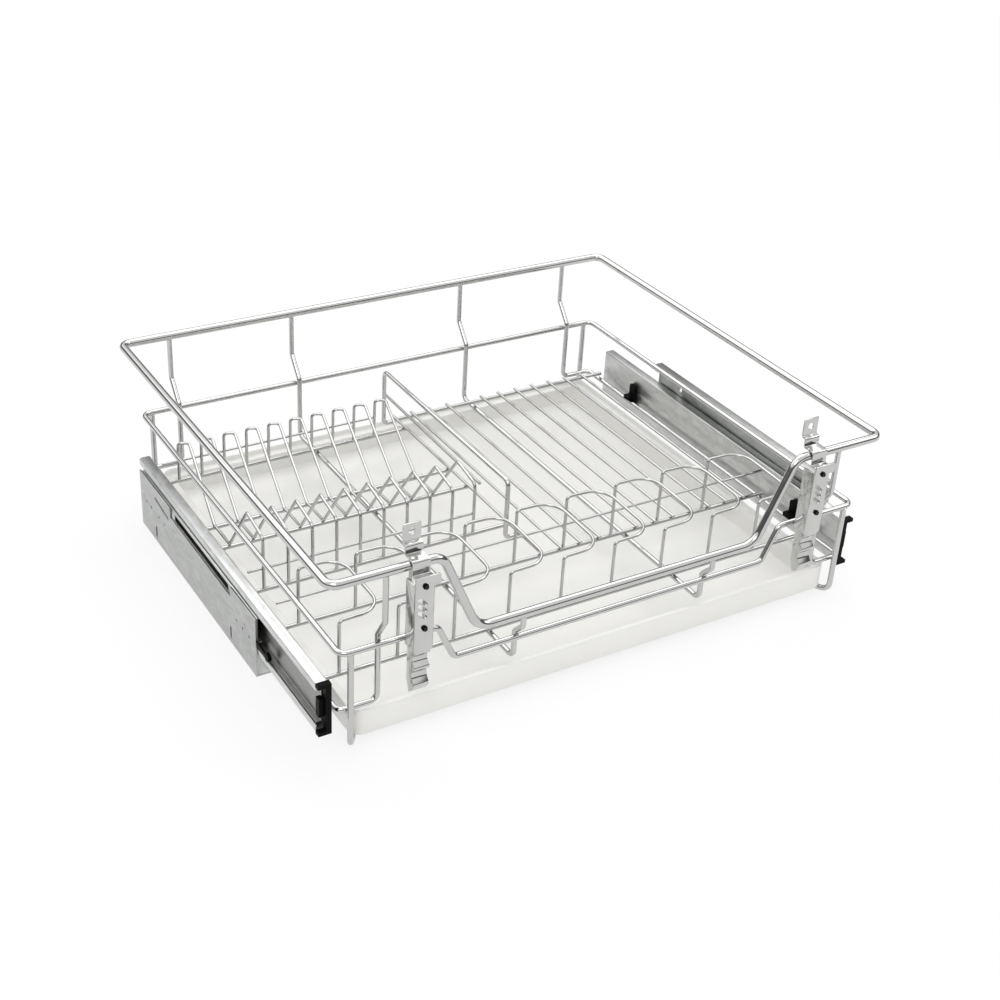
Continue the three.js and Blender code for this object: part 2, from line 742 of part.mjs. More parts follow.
// Bowl rack
function bowlLoop(x) {
  const rows = [
    [x, BOWL_BACK_Y, railZ],
    [x, BOWL_BACK_Y, -BOWL_BACK_DROP, BOWL_CORNER],
  ];
  const radius = (BOWL_BACK_Y - BOWL_FRONT_Y) * HALF_SHARE;
  const middleY = (BOWL_BACK_Y + BOWL_FRONT_Y) * HALF_SHARE;
  for (let k = 1; k < ARC_STEPS; k++) {
    const turn = (k / ARC_STEPS) * Math.PI;
    const drop = BOWL_BACK_DROP + (BOWL_FRONT_DROP - BOWL_BACK_DROP) * (k / ARC_STEPS);
    rows.push([x + radius * Math.sin(turn), middleY + radius * Math.cos(turn), -drop]);
  }
  rows.push([x, BOWL_FRONT_Y, -BOWL_FRONT_DROP, BOWL_CORNER]);
  rows.push([x, BOWL_FRONT_Y, railZ]);
  return rows;
}
const bowlWires = [
  straight([-railEndX, BOWL_BACK_Y, railZ], [railEndX, BOWL_BACK_Y, railZ], RAIL_RADIUS),
  straight([-railEndX, BOWL_FRONT_Y, railZ], [railEndX, BOWL_FRONT_Y, railZ], RAIL_RADIUS),
  straight(
    [-sideRunX, BOWL_BACK_Y + besideLeg, -BOWL_RAIL_DROP],
    [sideRunX, BOWL_BACK_Y + besideLeg, -BOWL_RAIL_DROP],
    THIN_RADIUS,
  ),
];
const bowlStartX = BOWL_FIRST_IN - sideRunX;
const bowlPitch = (sideRunX - BOWL_LAST_IN - bowlStartX) / (BOWL_COUNT - 1);
for (let i = 0; i < BOWL_COUNT; i++) {
  const loop = bowlLoop(bowlStartX + i * bowlPitch);
  bowlWires.push(wire(loop, LOOP_RADIUS, WIRE_SIDES, SMALL_CORNER_STEPS));
}
place("bowl_rack", unionOf(bowlWires), CHROME);

// Divider
const divider = [
  [backFootX, DIVIDER_BACK_Y, dividerFootZ],
  [DIVIDER_X, DIVIDER_BACK_Y, dividerFootZ, DIVIDER_CORNER],
  [DIVIDER_X, DIVIDER_BACK_Y, -DIVIDER_TOP_DROP, DIVIDER_CORNER],
  [DIVIDER_X, DIVIDER_FRONT_Y, -DIVIDER_TOP_DROP, DIVIDER_CORNER],
  [DIVIDER_X, DIVIDER_FRONT_Y, dividerFootZ, DIVIDER_CORNER],
  [frontFootX, DIVIDER_FRONT_Y, dividerFootZ],
];
place("divider", wire(divider, DIVIDER_RADIUS), CHROME);

// Front panel brackets, drawn about the middle of the bracket
const bracketHalf = BRACKET_WIDTH * HALF_SHARE;
const webBack = -BRACKET_FRONT + BRACKET_SHEET;
const flangeBack = -BRACKET_FRONT + FLANGE_DEPTH;
const bracketOutline = [
  [-bracketHalf, -BRACKET_FRONT],
  [bracketHalf, -BRACKET_FRONT],
  [bracketHalf, flangeBack],
  [bracketHalf - BRACKET_SHEET, flangeBack],
  [bracketHalf - BRACKET_SHEET, webBack],
  [-bracketHalf + BRACKET_SHEET, webBack],
  [-bracketHalf + BRACKET_SHEET, flangeBack],
  [-bracketHalf, flangeBack],
];
const channelPart = prism("z", bracketOutline, -BRACKET_BOTTOM, -FLANGE_TOP);
const earPart = box(
  -bracketHalf,
  bracketHalf + EAR_PAST,
  -BRACKET_FRONT,
  webBack,
  -FLANGE_TOP - UNION_BITE,
  -BRACKET_TOP,
);
const cutFront = -BRACKET_FRONT - CUT_OVERRUN;
const cutBack = webBack + CUT_OVERRUN;
const cuts = [
  prism("y", ring(BRACKET_HOLE, HOLE_SIDES, 0, -UPPER_SCREW_DROP), cutFront, cutBack),
  prism("y", ring(BRACKET_HOLE, HOLE_SIDES, 0, -LOWER_SCREW_DROP), cutFront, cutBack),
];
for (const share of SLOT_SHARES) {
  const drop = UPPER_SCREW_DROP + share * (LOWER_SCREW_DROP - UPPER_SCREW_DROP);
  const louvre = slot(
    -SLOT_ASIDE - SLOT_REACH,
    -drop - SLOT_TILT,
    -SLOT_ASIDE + SLOT_REACH,
    -drop + SLOT_TILT,
    BRACKET_SLOT,
  );
  cuts.push(prism("y", louvre, cutFront, cutBack));
}
const bracket = channelPart.add(earPart).subtract(unionOf(cuts));

// Hole through the strap or the toe behind the bracket
const lapFront = -STRAP_LAP - STRAP_SHEET;
const lapBack = -STRAP_LAP + STRAP_SHEET;
function lapHole(drop) {
  return prism("y", ring(BRACKET_HOLE, HOLE_SIDES, 0, -drop), lapFront, lapBack);
}

// Strap that hooks over the top rim and carries the upper screw tab
const strapReach = RIM_RADIUS + WELD_GAP + STRAP_SHEET * HALF_SHARE;
const strapLine = [
  [STRAP_BEHIND, STRAP_TOP],
  [STRAP_BEHIND, STRAP_STEP_TOP],
  [STRAP_STEP_BACK, STRAP_STEP_TOP - UNION_BITE],
  [STRAP_STEP_BACK, strapReach],
  [-strapReach, strapReach],
  [-strapReach, -STRAP_UNDER],
  [-STRAP_LAP, -STRAP_UNDER - UNION_BITE],
  [-STRAP_LAP, -STRAP_END],
];
const strapHalf = STRAP_WIDTH * HALF_SHARE;
const strapBlank = prism("x", bentSheet(strapLine, STRAP_SHEET), -strapHalf, strapHalf);
const tabHole = prism(
  "y",
  ring(TAB_HOLE, HOLE_SIDES, 0, TAB_HOLE_HEIGHT),
  STRAP_BEHIND - STRAP_SHEET,
  STRAP_BEHIND + STRAP_SHEET,
);
const besideLap = box(
  bracketHalf - BRACKET_SHEET - WELD_GAP,
  bracketHalf,
  lapFront,
  lapBack,
  -STRAP_END - CUT_OVERRUN,
  -FLANGE_TOP + WELD_GAP,
);
const strapCuts = [tabHole, lapHole(UPPER_SCREW_DROP), besideLap, mirrored(besideLap)];
const strap = strapBlank.subtract(unionOf(strapCuts));

// Toe: a channel that nests in the bracket, with two cheeks that run down to a stepped tip
const toeSteps = TOE_SHARES.map(([out, down]) => [-out * STRAP_LAP, -TOE_TOP - down * TOE_LENGTH]);
const toeLine = [[-STRAP_LAP, -TOE_TOP]].concat(toeSteps);
const cheekHalf = bracketHalf - BRACKET_SHEET - WELD_GAP;
const cheekFront = -STRAP_LAP + STRAP_SHEET * HALF_SHARE + WELD_GAP;
const cheekOutline = [
  [CHEEK_BACK, -CHEEK_TOP],
  [cheekFront, -CHEEK_TOP],
  [cheekFront, -TOE_TOP],
  ...toeLine,
  [CHEEK_BACK, -CHEEK_BOTTOM],
];
const toeWeb = prism("x", bentSheet(toeLine, STRAP_SHEET), -cheekHalf, cheekHalf);
const toeCheeks = prism("x", cheekOutline, -cheekHalf, -cheekHalf + STRAP_SHEET).add(
  prism("x", cheekOutline, cheekHalf - STRAP_SHEET, cheekHalf),
);
const toe = toeWeb.add(toeCheeks).subtract(lapHole(LOWER_SCREW_DROP));

// A small screw through bracket and strap, head at the back
function bracketScrew(drop) {
  const headBack = -STRAP_LAP + STRAP_SHEET * HALF_SHARE + WELD_GAP;
  const profile = [
    [0, -SCREW_LENGTH],
    [SCREW_SHANK, -SCREW_LENGTH],
    [SCREW_SHANK, 0],
    [SCREW_HEAD, 0],
    [SCREW_HEAD, SCREW_HEAD_HEIGHT],
    [0, SCREW_HEAD_HEIGHT],
  ];
  return turned("y", profile, HOLE_SIDES, 0, headBack, -drop);
}
for (const side of ["left", "right"]) {
  const middle = side === "left" ? -bracketX : bracketX;
  const there = (solid) => solid.translate([middle, 0, 0]);
  place(`panel_bracket_${side}`, there(bracket), CHROME);
  place(`rim_strap_${side}`, there(strap), CHROME);
  place(`bracket_toe_${side}`, there(toe), CHROME);
  place(`bracket_screw_upper_${side}`, there(bracketScrew(UPPER_SCREW_DROP)), STEEL);
  place(`bracket_screw_lower_${side}`, there(bracketScrew(LOWER_SCREW_DROP)), STEEL);
}

// Slides: channel on the rack, middle channel, rail on the cabinet plate. Between two channels
// there is room for one row of balls above and one below
const zc = -SLIDE_CENTRE_DROP;
const ballSpace = BALL_RADIUS + BALL_GAP + BALL_RADIUS + BALL_GAP;
const outerRow = CHANNEL_HALF - SHEET - BALL_GAP - BALL_RADIUS;
const middleHalf = CHANNEL_HALF - SHEET - ballSpace;
const innerRow = middleHalf - SHEET - BALL_GAP - BALL_RADIUS;
const railHalf = middleHalf - SHEET - ballSpace;
const channelOutline = [
  [channelX, zc - CHANNEL_HALF],
  [channelTip, zc - CHANNEL_HALF],
  [channelTip, zc - CHANNEL_HALF + CHANNEL_LIP],
  [channelTip - SHEET, zc - CHANNEL_HALF + CHANNEL_LIP],
  [channelTip - SHEET, zc - CHANNEL_HALF + SHEET],
  [channelX + SHEET, zc - CHANNEL_HALF + SHEET],
  [channelX + SHEET, zc + CHANNEL_HALF - SHEET],
  [channelTip - SHEET, zc + CHANNEL_HALF - SHEET],
  [channelTip - SHEET, zc + CHANNEL_HALF - CHANNEL_LIP],
  [channelTip, zc + CHANNEL_HALF - CHANNEL_LIP],
  [channelTip, zc + CHANNEL_HALF],
  [channelX, zc + CHANNEL_HALF],
];

// An open channel: its web stands at the first x, its flanges reach to the second
function channelShape(webX, tipX, half, sheet) {
  const inner = webX + Math.sign(tipX - webX) * sheet;
  return [
    [webX, zc - half],
    [tipX, zc - half],
    [tipX, zc - half + sheet],
    [inner, zc - half + sheet],
    [inner, zc + half - sheet],
    [tipX, zc + half - sheet],
    [tipX, zc + half],
    [webX, zc + half],
  ];
}

// A thin channel that carries its balls in the middle of its flanges
function ballCage(webX, tipX, row, ballX, frontY, length) {
  const half = row + CAGE_SHEET * HALF_SHARE;
  const parts = [prism("y", channelShape(webX, tipX, half, CAGE_SHEET), frontY, frontY + length)];
  const pitch = (length - BALL_END - BALL_END) / (BALL_COUNT - 1);
  for (let i = 0; i < BALL_COUNT; i++) {
    const y = frontY + BALL_END + i * pitch;
    parts.push(ballAt(ballX, y, zc + row));
    parts.push(ballAt(ballX, y, zc - row));
  }
  return unionOf(parts);
}

// Channel of the basket with a round hole behind each side clip
function basketChannel(frontY, clipPlaces) {
  const holeZ = -FRAME_FLOOR + CLIP_UP - CLIP_HOLE_HALF;
  const holes = clipPlaces.map((y) =>
    prism("x", ring(CLIP_HOLE_HALF, HOLE_SIDES, y, holeZ), clipX, middleX),
  );
  return prism("y", channelOutline, frontY, frontY + CHANNEL_LENGTH).subtract(unionOf(holes));
}

// Cabinet plate, drawn for the left side with its flange at the bottom. Between the two tall
// ends its upper edge drops, and the rail behind has a window there, so that the balls show
const tallStart = CABINET_PLATE_LENGTH - BACK_TALL_LENGTH;
function throughPlate(outline) {
  return prism("x", outline, plateInner - CUT_OVERRUN, plateOuter + CUT_OVERRUN);
}
function rivetHole(frontY, share) {
  const y = frontY + share * CABINET_PLATE_LENGTH;
  return ring(RIVET_RADIUS + WELD_GAP, WIRE_SIDES, y, zc - RIVET_DROP);
}
function cabinetPlate(frontY) {
  const backY = frontY + CABINET_PLATE_LENGTH;
  const outline = [
    [frontY, zc - CABINET_PLATE_LOW],
    [backY, zc - CABINET_PLATE_LOW],
    [backY, zc + CABINET_PLATE_TALL],
    [frontY + tallStart, zc + CABINET_PLATE_TALL],
    [frontY + tallStart, zc + WINDOW_SILL],
    [frontY + FRONT_TALL_LENGTH, zc + WINDOW_SILL],
    [frontY + FRONT_TALL_LENGTH, zc + CABINET_PLATE_TALL],
    [frontY, zc + CABINET_PLATE_TALL],
  ];
  const slotY = frontY + tallStart + PLATE_SLOT_SHARE * BACK_TALL_LENGTH;
  const reach = PLATE_SLOT_REACH_SHARE * BACK_TALL_LENGTH;
  const slotZ = zc + PLATE_SLOT_LIFT;
  const fromZ = slotZ - PLATE_SLOT_TILT;
  const toZ = slotZ + PLATE_SLOT_TILT;
  const holes = [slot(slotY - reach, fromZ, slotY + reach, toZ, PLATE_SLOT_RADIUS)];
  for (const share of BACK_HOLE_SHARES) {
    const y = frontY + tallStart + share * BACK_TALL_LENGTH;
    holes.push(ring(PLATE_HOLE_RADIUS, WIRE_SIDES, y, zc - PLATE_HOLE_DROP));
  }
  for (const share of FRONT_HOLE_SHARES) {
    const y = frontY + share * FRONT_TALL_LENGTH;
    holes.push(ring(PLATE_HOLE_RADIUS, WIRE_SIDES, y, zc - PLATE_HOLE_DROP));
  }
  for (const share of RIVET_SHARES) {
    holes.push(rivetHole(frontY, share));
  }
  for (const share of FLANGE_SLOT_SHARES) {
    const y = frontY + share * CABINET_PLATE_LENGTH;
    const low = zc - CABINET_PLATE_LOW + FLANGE_SLOT_LOW;
    const high = zc - CABINET_PLATE_LOW + FLANGE_SLOT_HIGH;
    holes.push(slot(y, low, y, high, FLANGE_SLOT_RADIUS));
  }
  const web = prism("x", outline, plateInner, plateOuter);
  const flange = box(
    plateOuter - CABINET_FLANGE,
    plateOuter,
    frontY,
    backY,
    zc - CABINET_PLATE_LOW,
    zc - CABINET_PLATE_LOW + PLATE_SHEET,
  );
  return web.add(flange).subtract(unionOf(holes.map(throughPlate)));
}

// Latch at the front of the cabinet plate: a small lever with a round knob
function latch(frontY) {
  const knobY = frontY - LATCH_REACH;
  const knobZ = zc - LATCH_DROP;
  const rootY = frontY - WELD_GAP;
  const rootZ = knobZ + LATCH_FALL;
  const leverOutline = [
    [knobY, knobZ - LEVER_HALF],
    [rootY, rootZ - LEVER_HALF],
    [rootY, rootZ + LEVER_HALF],
    [knobY, knobZ + LEVER_HALF],
  ];
  const lever = prism("x", leverOutline, plateInner, plateOuter);
  const knob = ring(KNOB_RADIUS, HOLE_SIDES, knobY, knobZ);
  return lever.add(prism("x", knob, plateOuter - KNOB_DEPTH, plateOuter));
}

// Rivet through cabinet plate and rail web
const railWebBack = railTip - SHEET - WELD_GAP;
function cabinetRivet(frontY, share) {
  const length = plateOuter - railWebBack - WELD_GAP;
  const profile = [
    [0, -RIVET_HEAD_HEIGHT],
    [RIVET_HEAD_RADIUS, -RIVET_HEAD_HEIGHT],
    [RIVET_HEAD_RADIUS, 0],
    [RIVET_RADIUS, 0],
    [RIVET_RADIUS, length],
    [0, length],
  ];
  const y = frontY + share * CABINET_PLATE_LENGTH;
  return turned("x", profile, WIRE_SIDES, railWebBack, y, zc - RIVET_DROP);
}

// Rail on the cabinet plate, from the plate's front to near the back of the slide
const railShape = channelShape(railTip, railX, railHalf, SHEET);
function cabinetRail(frontY, backY) {
  const window = box(
    railWebBack,
    plateInner,
    frontY + FRONT_TALL_LENGTH + WINDOW_END,
    frontY + tallStart - WINDOW_END,
    zc + WINDOW_SILL,
    zc + railHalf - SHEET - SHEET,
  );
  const holes = RIVET_SHARES.map((share) =>
    prism("x", rivetHole(frontY, share), railWebBack, plateInner),
  );
  const blank = prism("y", railShape, frontY + RAIL_FRONT_IN, backY);
  return blank.subtract(window).subtract(unionOf(holes));
}

// The right plate is turned over about the centre line of the slide
function turnedOver(solid) {
  return solid.translate([0, 0, -zc]).mirror([0, 0, 1]).translate([0, 0, zc]);
}

// Black end cap on the front of the rack channel
const capTip = channelTip + CAP_HOOK_OUT;
const capOutline = [
  [channelX - CAP_OVERHANG, zc - CHANNEL_HALF - CAP_OVERHANG],
  [capTip, zc - CHANNEL_HALF - CAP_OVERHANG],
  [capTip, zc - CHANNEL_HALF + CAP_HOOK],
  [channelX + CAP_WIDTH, zc - CHANNEL_HALF + CAP_HOOK],
  [channelX + CAP_WIDTH, zc + CHANNEL_HALF - CAP_HOOK],
  [capTip, zc + CHANNEL_HALF - CAP_HOOK],
  [capTip, zc + CHANNEL_HALF + CAP_OVERHANG],
  [channelX - CAP_OVERHANG, zc + CHANNEL_HALF + CAP_OVERHANG],
];

// Clip that hooks over the side run of the frame and snaps into the channel
function sideClip(y) {
  const beside = clipX - CLIP_BODY;
  const above = -FRAME_FLOOR + FRAME_RADIUS + WELD_GAP;
  const outline = [
    [clipX, -FRAME_FLOOR - CLIP_DOWN],
    [clipX, -FRAME_FLOOR + CLIP_UP],
    [beside, -FRAME_FLOOR + CLIP_UP],
    [beside, above + CLIP_HOOK],
    [beside - CLIP_REACH, above + CLIP_HOOK],
    [beside - CLIP_REACH, above],
    [beside, above],
    [beside, -FRAME_FLOOR - CLIP_DOWN],
  ];
  const halfLength = CLIP_LENGTH * HALF_SHARE;
  return prism("y", outline, y - halfLength, y + halfLength);
}

for (const side of ["left", "right"]) {
  const plateY = side === "left" ? LEFT_PLATE_FRONT_Y : RIGHT_PLATE_FRONT_Y;
  const slideY = CHANNEL_FRONT_Y + (side === "left" ? 0 : RIGHT_SLIDE_BACK);
  const endY = slideY + CHANNEL_LENGTH;
  const clipPlaces = CLIP_SHARES.map((share) => slideY + share * CHANNEL_LENGTH);
  const handed = (solid) => (side === "left" ? mirrored(solid) : turnedOver(solid));

  const middleShape = channelShape(middleX, middleTip, middleHalf, SHEET);
  const middleY = slideY + MIDDLE_FRONT_IN;
  const middle = prism("y", middleShape, middleY, endY - MIDDLE_BACK_IN);
  const outerCage = ballCage(
    channelX + SHEET + CAGE_GAP,
    middleTip - OUTER_CAGE_TIP_IN,
    outerRow,
    channelX + OUTER_BALL_IN,
    slideY + OUTER_CAGE_START,
    OUTER_CAGE_LENGTH,
  );
  const innerCage = ballCage(
    middleX + SHEET + CAGE_GAP,
    railTip - INNER_CAGE_TIP_IN,
    innerRow,
    railTip - INNER_BALL_IN,
    plateY + INNER_CAGE_START,
    INNER_CAGE_LENGTH,
  );
  const stop = box(
    middleTip - STOP_WIDTH,
    middleTip,
    middleY - WELD_GAP - STOP_LENGTH,
    middleY - WELD_GAP,
    zc - STOP_HALF,
    zc + STOP_HALF,
  );
  const cap = prism("y", capOutline, slideY - WELD_GAP - CAP_DEPTH, slideY - WELD_GAP);

  place(`basket_channel_${side}`, onSide(side, basketChannel(slideY, clipPlaces)), ZINC);
  place(`middle_channel_${side}`, onSide(side, middle), ZINC);
  place(`cabinet_rail_${side}`, handed(cabinetRail(plateY, endY - RAIL_BACK_IN)), ZINC);
  place(`cabinet_plate_${side}`, handed(cabinetPlate(plateY)), ZINC);
  place(`outer_ball_cage_${side}`, onSide(side, outerCage), STEEL);
  place(`inner_ball_cage_${side}`, onSide(side, innerCage), STEEL);
  place(`middle_stop_${side}`, onSide(side, stop), BLACK);
  place(`end_cap_${side}`, onSide(side, cap), BLACK);
  place(`latch_${side}`, handed(latch(plateY)), BLACK);
  RIVET_SHARES.forEach((share, i) => {
    const where = i === 0 ? "front" : "back";
    place(`cabinet_rivet_${where}_${side}`, handed(cabinetRivet(plateY, share)), STEEL);
  });
  clipPlaces.forEach((y, i) => {
    const where = i === 0 ? "front" : "back";
    place(`side_clip_${where}_${side}`, onSide(side, sideClip(y)), BLACK);
  });
}

// Drip tray: floor, walls and a ledge inside the rim
function roundedBox(halfWidth, frontY, backY, corner) {
  const points = [];
  const centres = [
    [halfWidth - corner, frontY + corner, -Math.PI * HALF_SHARE],
    [halfWidth - corner, backY - corner, 0],
    [-halfWidth + corner, backY - corner, Math.PI * HALF_SHARE],
    [-halfWidth + corner, frontY + corner, Math.PI],
  ];
  for (const [x, y, from] of centres) {
    for (let k = 0; k <= TRAY_CORNER_STEPS; k++) {
      const turn = from + (k / TRAY_CORNER_STEPS) * Math.PI * HALF_SHARE;
      points.push([x + corner * Math.cos(turn), y + corner * Math.sin(turn)]);
    }
  }
  return points;
}
const trayHalf = carrierLegX - CARRIER_RADIUS - TRAY_SIDE_GAP;
const trayFrontY = midFrontY + CARRIER_RADIUS + TRAY_FRONT_GAP;
const trayBackY = midBackY - CARRIER_RADIUS - TRAY_BACK_GAP;
const trayBottom = -CARRIER_DROP + CARRIER_RADIUS + WELD_GAP;
const trayOuter = prism(
  "z",
  roundedBox(trayHalf, trayFrontY, trayBackY, TRAY_CORNER),
  trayBottom,
  -TRAY_TOP_DROP,
);
const trayUpper = prism(
  "z",
  roundedBox(
    trayHalf - TRAY_WALL,
    trayFrontY + TRAY_WALL,
    trayBackY - TRAY_WALL,
    TRAY_CORNER - TRAY_WALL,
  ),
  -TRAY_TOP_DROP - TRAY_LEDGE_DROP,
  -TRAY_TOP_DROP + CUT_OVERRUN,
);
const trayLower = prism(
  "z",
  roundedBox(
    trayHalf - TRAY_LEDGE,
    trayFrontY + TRAY_LEDGE,
    trayBackY - TRAY_LEDGE,
    TRAY_CORNER - TRAY_WALL,
  ),
  trayBottom + TRAY_FLOOR,
  -TRAY_TOP_DROP,
);
place("drip_tray", trayOuter.subtract(trayUpper).subtract(trayLower), GREY_WHITE);

// The whole rack is moved so that the middle of its box stands over the origin, floor at zero
const bounds = new THREE.Box3();
for (const mesh of rack.children) {
  mesh.geometry.computeBoundingBox();
  bounds.union(mesh.geometry.boundingBox);
}
const centre = bounds.getCenter(new THREE.Vector3());
for (const mesh of rack.children) {
  mesh.geometry.translate(-centre.x, -centre.y, -bounds.min.z);
}

export default rack;
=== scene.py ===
"""Pull-out dish rack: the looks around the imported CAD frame.

Laid out as an add-on and run as a script. All places are metres in the rack's own frame:
x to the right from the middle, y to the back from the front run of the top rim, z up from it.
"""

import math

import bmesh
import bpy
from mathutils import Matrix, Vector


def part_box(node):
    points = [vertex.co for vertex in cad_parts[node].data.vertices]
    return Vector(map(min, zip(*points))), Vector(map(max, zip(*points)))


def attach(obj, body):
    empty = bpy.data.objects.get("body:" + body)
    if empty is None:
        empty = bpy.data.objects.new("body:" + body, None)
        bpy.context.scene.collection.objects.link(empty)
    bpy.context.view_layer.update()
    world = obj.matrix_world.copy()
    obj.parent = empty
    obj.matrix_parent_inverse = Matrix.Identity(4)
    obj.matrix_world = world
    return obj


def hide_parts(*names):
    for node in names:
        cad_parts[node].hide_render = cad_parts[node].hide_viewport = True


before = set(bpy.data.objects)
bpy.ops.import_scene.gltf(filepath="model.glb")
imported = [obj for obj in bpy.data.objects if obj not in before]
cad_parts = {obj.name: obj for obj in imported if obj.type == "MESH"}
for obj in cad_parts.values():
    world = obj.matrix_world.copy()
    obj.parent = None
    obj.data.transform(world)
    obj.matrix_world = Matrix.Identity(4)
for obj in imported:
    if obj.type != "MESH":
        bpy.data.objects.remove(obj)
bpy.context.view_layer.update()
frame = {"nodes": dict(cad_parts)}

bl_info = {
    "name": "Pull-out dish rack",
    "version": (1, 0, 0),
    "blender": (4, 5, 0),
    "location": "View3D > Sidebar > Dish rack",
    "description": "Builds a chrome pull-out dish rack with slides, brackets and drip tray",
    "category": "Object",
}

# The drip tray's place in the frame gives the rack's origin
TRAY_FRONT = 0.0102
TRAY_TOP = -0.137
TRAY_LOW, TRAY_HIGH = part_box("drip_tray")
ORIGIN = Vector((0, TRAY_LOW.y - TRAY_FRONT, TRAY_HIGH.z - TRAY_TOP))
SIDES = {"left": -1, "right": 1}

# Modelling
MERGE = 0.00001
SMOOTH_ANGLE = math.radians(38)
SOFTEN_ANGLE = math.radians(40)
FOLD_STEPS = 3
CHAMFER_IN = 0.25
CHAMFER_LIFT = 0.2


def at(x, y, z):
    """A place in the rack's own frame as a place in the part's frame."""
    return ORIGIN + Vector((x, y, z))


def on_axes(axis, u, v, along=0.0):
    """A vector with along on the numbered axis, and u and v on the other two in order."""
    parts = [u, v]
    parts.insert(axis, along)
    return Vector(parts)


# ---- modelling helpers ----


def clear_selection():
    if bpy.context.mode != "OBJECT":
        bpy.ops.object.mode_set(mode="OBJECT")
    bpy.ops.object.select_all(action="DESELECT")


def only(*pieces):
    clear_selection()
    for piece in pieces:
        piece.select_set(True)
    bpy.context.view_layer.objects.active = pieces[0]


def edit(piece, mode="VERT"):
    only(piece)
    bpy.ops.object.mode_set(mode="EDIT")
    bpy.ops.mesh.select_mode(type=mode)


def done():
    bpy.ops.object.mode_set(mode="OBJECT")


def select_faces(piece, test):
    """Selects the faces that pass the test; the piece is in edit mode."""
    mesh = bmesh.from_edit_mesh(piece.data)
    mesh.normal_update()
    for face in mesh.faces:
        face.select_set(bool(test(face)))
    mesh.select_flush_mode()
    bmesh.update_edit_mesh(piece.data)


def select_edges(piece, test):
    """Selects the edges that pass the test; the piece is in edit mode."""
    mesh = bmesh.from_edit_mesh(piece.data)
    mesh.normal_update()
    for part in list(mesh.faces) + list(mesh.edges) + list(mesh.verts):
        part.select_set(False)
    for edge in mesh.edges:
        if test(edge):
            edge.select_set(True)
    bmesh.update_edit_mesh(piece.data)


def extrude(by):
    bpy.ops.mesh.extrude_region_move(TRANSFORM_OT_translate={"value": by})


def rename(piece, name):
    piece.name = piece.data.name = name
    return piece


def named(name):
    """Names the piece that was just made."""
    return rename(bpy.context.object, name)


def settle(piece):
    """Applies place, turn and size, so that the object sits at the origin."""
    only(piece)
    bpy.ops.object.transform_apply(location=True, rotation=True, scale=True)


def finish_mesh():
    """Turns all normals outwards and leaves edit mode."""
    bpy.ops.mesh.select_all(action="SELECT")
    bpy.ops.mesh.normals_make_consistent(inside=False)
    done()


def merge_close():
    bpy.ops.mesh.select_all(action="SELECT")
    bpy.ops.mesh.remove_doubles(threshold=MERGE)


def outwards(piece):
    edit(piece)
    merge_close()
    finish_mesh()


def smooth(piece, angle=SMOOTH_ANGLE):
    only(piece)
    bpy.ops.object.shade_smooth_by_angle(angle=angle)


def modify(piece, kind, **settings):
    only(piece)
    modifier = piece.modifiers.new(kind.title(), kind)
    for key, value in settings.items():
        setattr(modifier, key, value)
    bpy.ops.object.modifier_apply(modifier=modifier.name)


def combine(piece, other, operation):
    """Joins the other piece on or cuts it away, and removes it."""
    modify(piece, "BOOLEAN", operation=operation, solver="EXACT", object=other)
    bpy.data.objects.remove(other)


def soften(piece, width, segments=2, angle=SOFTEN_ANGLE):
    limits = {"limit_method": "ANGLE", "angle_limit": angle}
    modify(piece, "BEVEL", width=width, segments=segments, **limits)
    smooth(piece)


def copied(piece, name, offset=(0, 0, 0)):
    """A copy with its own mesh, moved by the offset."""
    other = piece.copy()
    other.data = piece.data.copy()
    bpy.context.scene.collection.objects.link(other)
    only(rename(other, name))
    bpy.ops.transform.translate(value=offset)
    settle(other)
    return other


def row_of(piece, count, pitch, left_out=None):
    """The piece and its copies along x."""
    steps = [i for i in range(1, count) if i != left_out]
    return [piece] + [copied(piece, f"{piece.name}_{i}", (i * pitch, 0, 0)) for i in steps]


def mirror(piece):
    """Turns a piece that was modelled on the right into its left twin."""
    piece.scale = (-1, 1, 1)
    settle(piece)
    outwards(piece)


def both_sides(piece, name):
    """Left and right pieces from one that was modelled on the right."""
    left = copied(piece, f"{name}_left")
    mirror(left)
    return {"right": rename(piece, f"{name}_right"), "left": left}


def joined(pieces, name):
    only(*pieces)
    if len(pieces) > 1:
        bpy.ops.object.join()
    return named(name)


def finished(piece, finish, body, slot, *nodes):
    """Gives a piece its finish and its body, and lets it stand for CAD nodes; the slot is not
    used.
    """
    if not piece.data.vertices:
        raise RuntimeError(f"{piece.name} came out empty")
    piece.data.materials.clear()
    piece.data.materials.append(FINISHES[finish])
    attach(piece, body)
    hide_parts(*nodes)


def bends_of(rows):
    """The places of a wire, and its bends: start, centre, axis, angle, end."""
    places = [Vector(row[:3]) for row in rows]
    bends = [None] * len(rows)
    for i, here in enumerate(places):
        if len(rows[i]) < 4:
            continue
        back = places[i - 1] - here
        ahead = places[(i + 1) % len(places)] - here
        turn = math.pi - back.angle(ahead)
        reach = min(rows[i][3] * math.tan(turn / 2), back.length / 2, ahead.length / 2)
        radius = reach / math.tan(turn / 2)
        middle = (back.normalized() + ahead.normalized()).normalized()
        centre = here + middle * (radius / math.cos(turn / 2))
        start = here + back.normalized() * reach
        end = here + ahead.normalized() * reach
        bends[i] = (start, centre, back.cross(start - centre).normalized(), turn, end)
    return places, bends


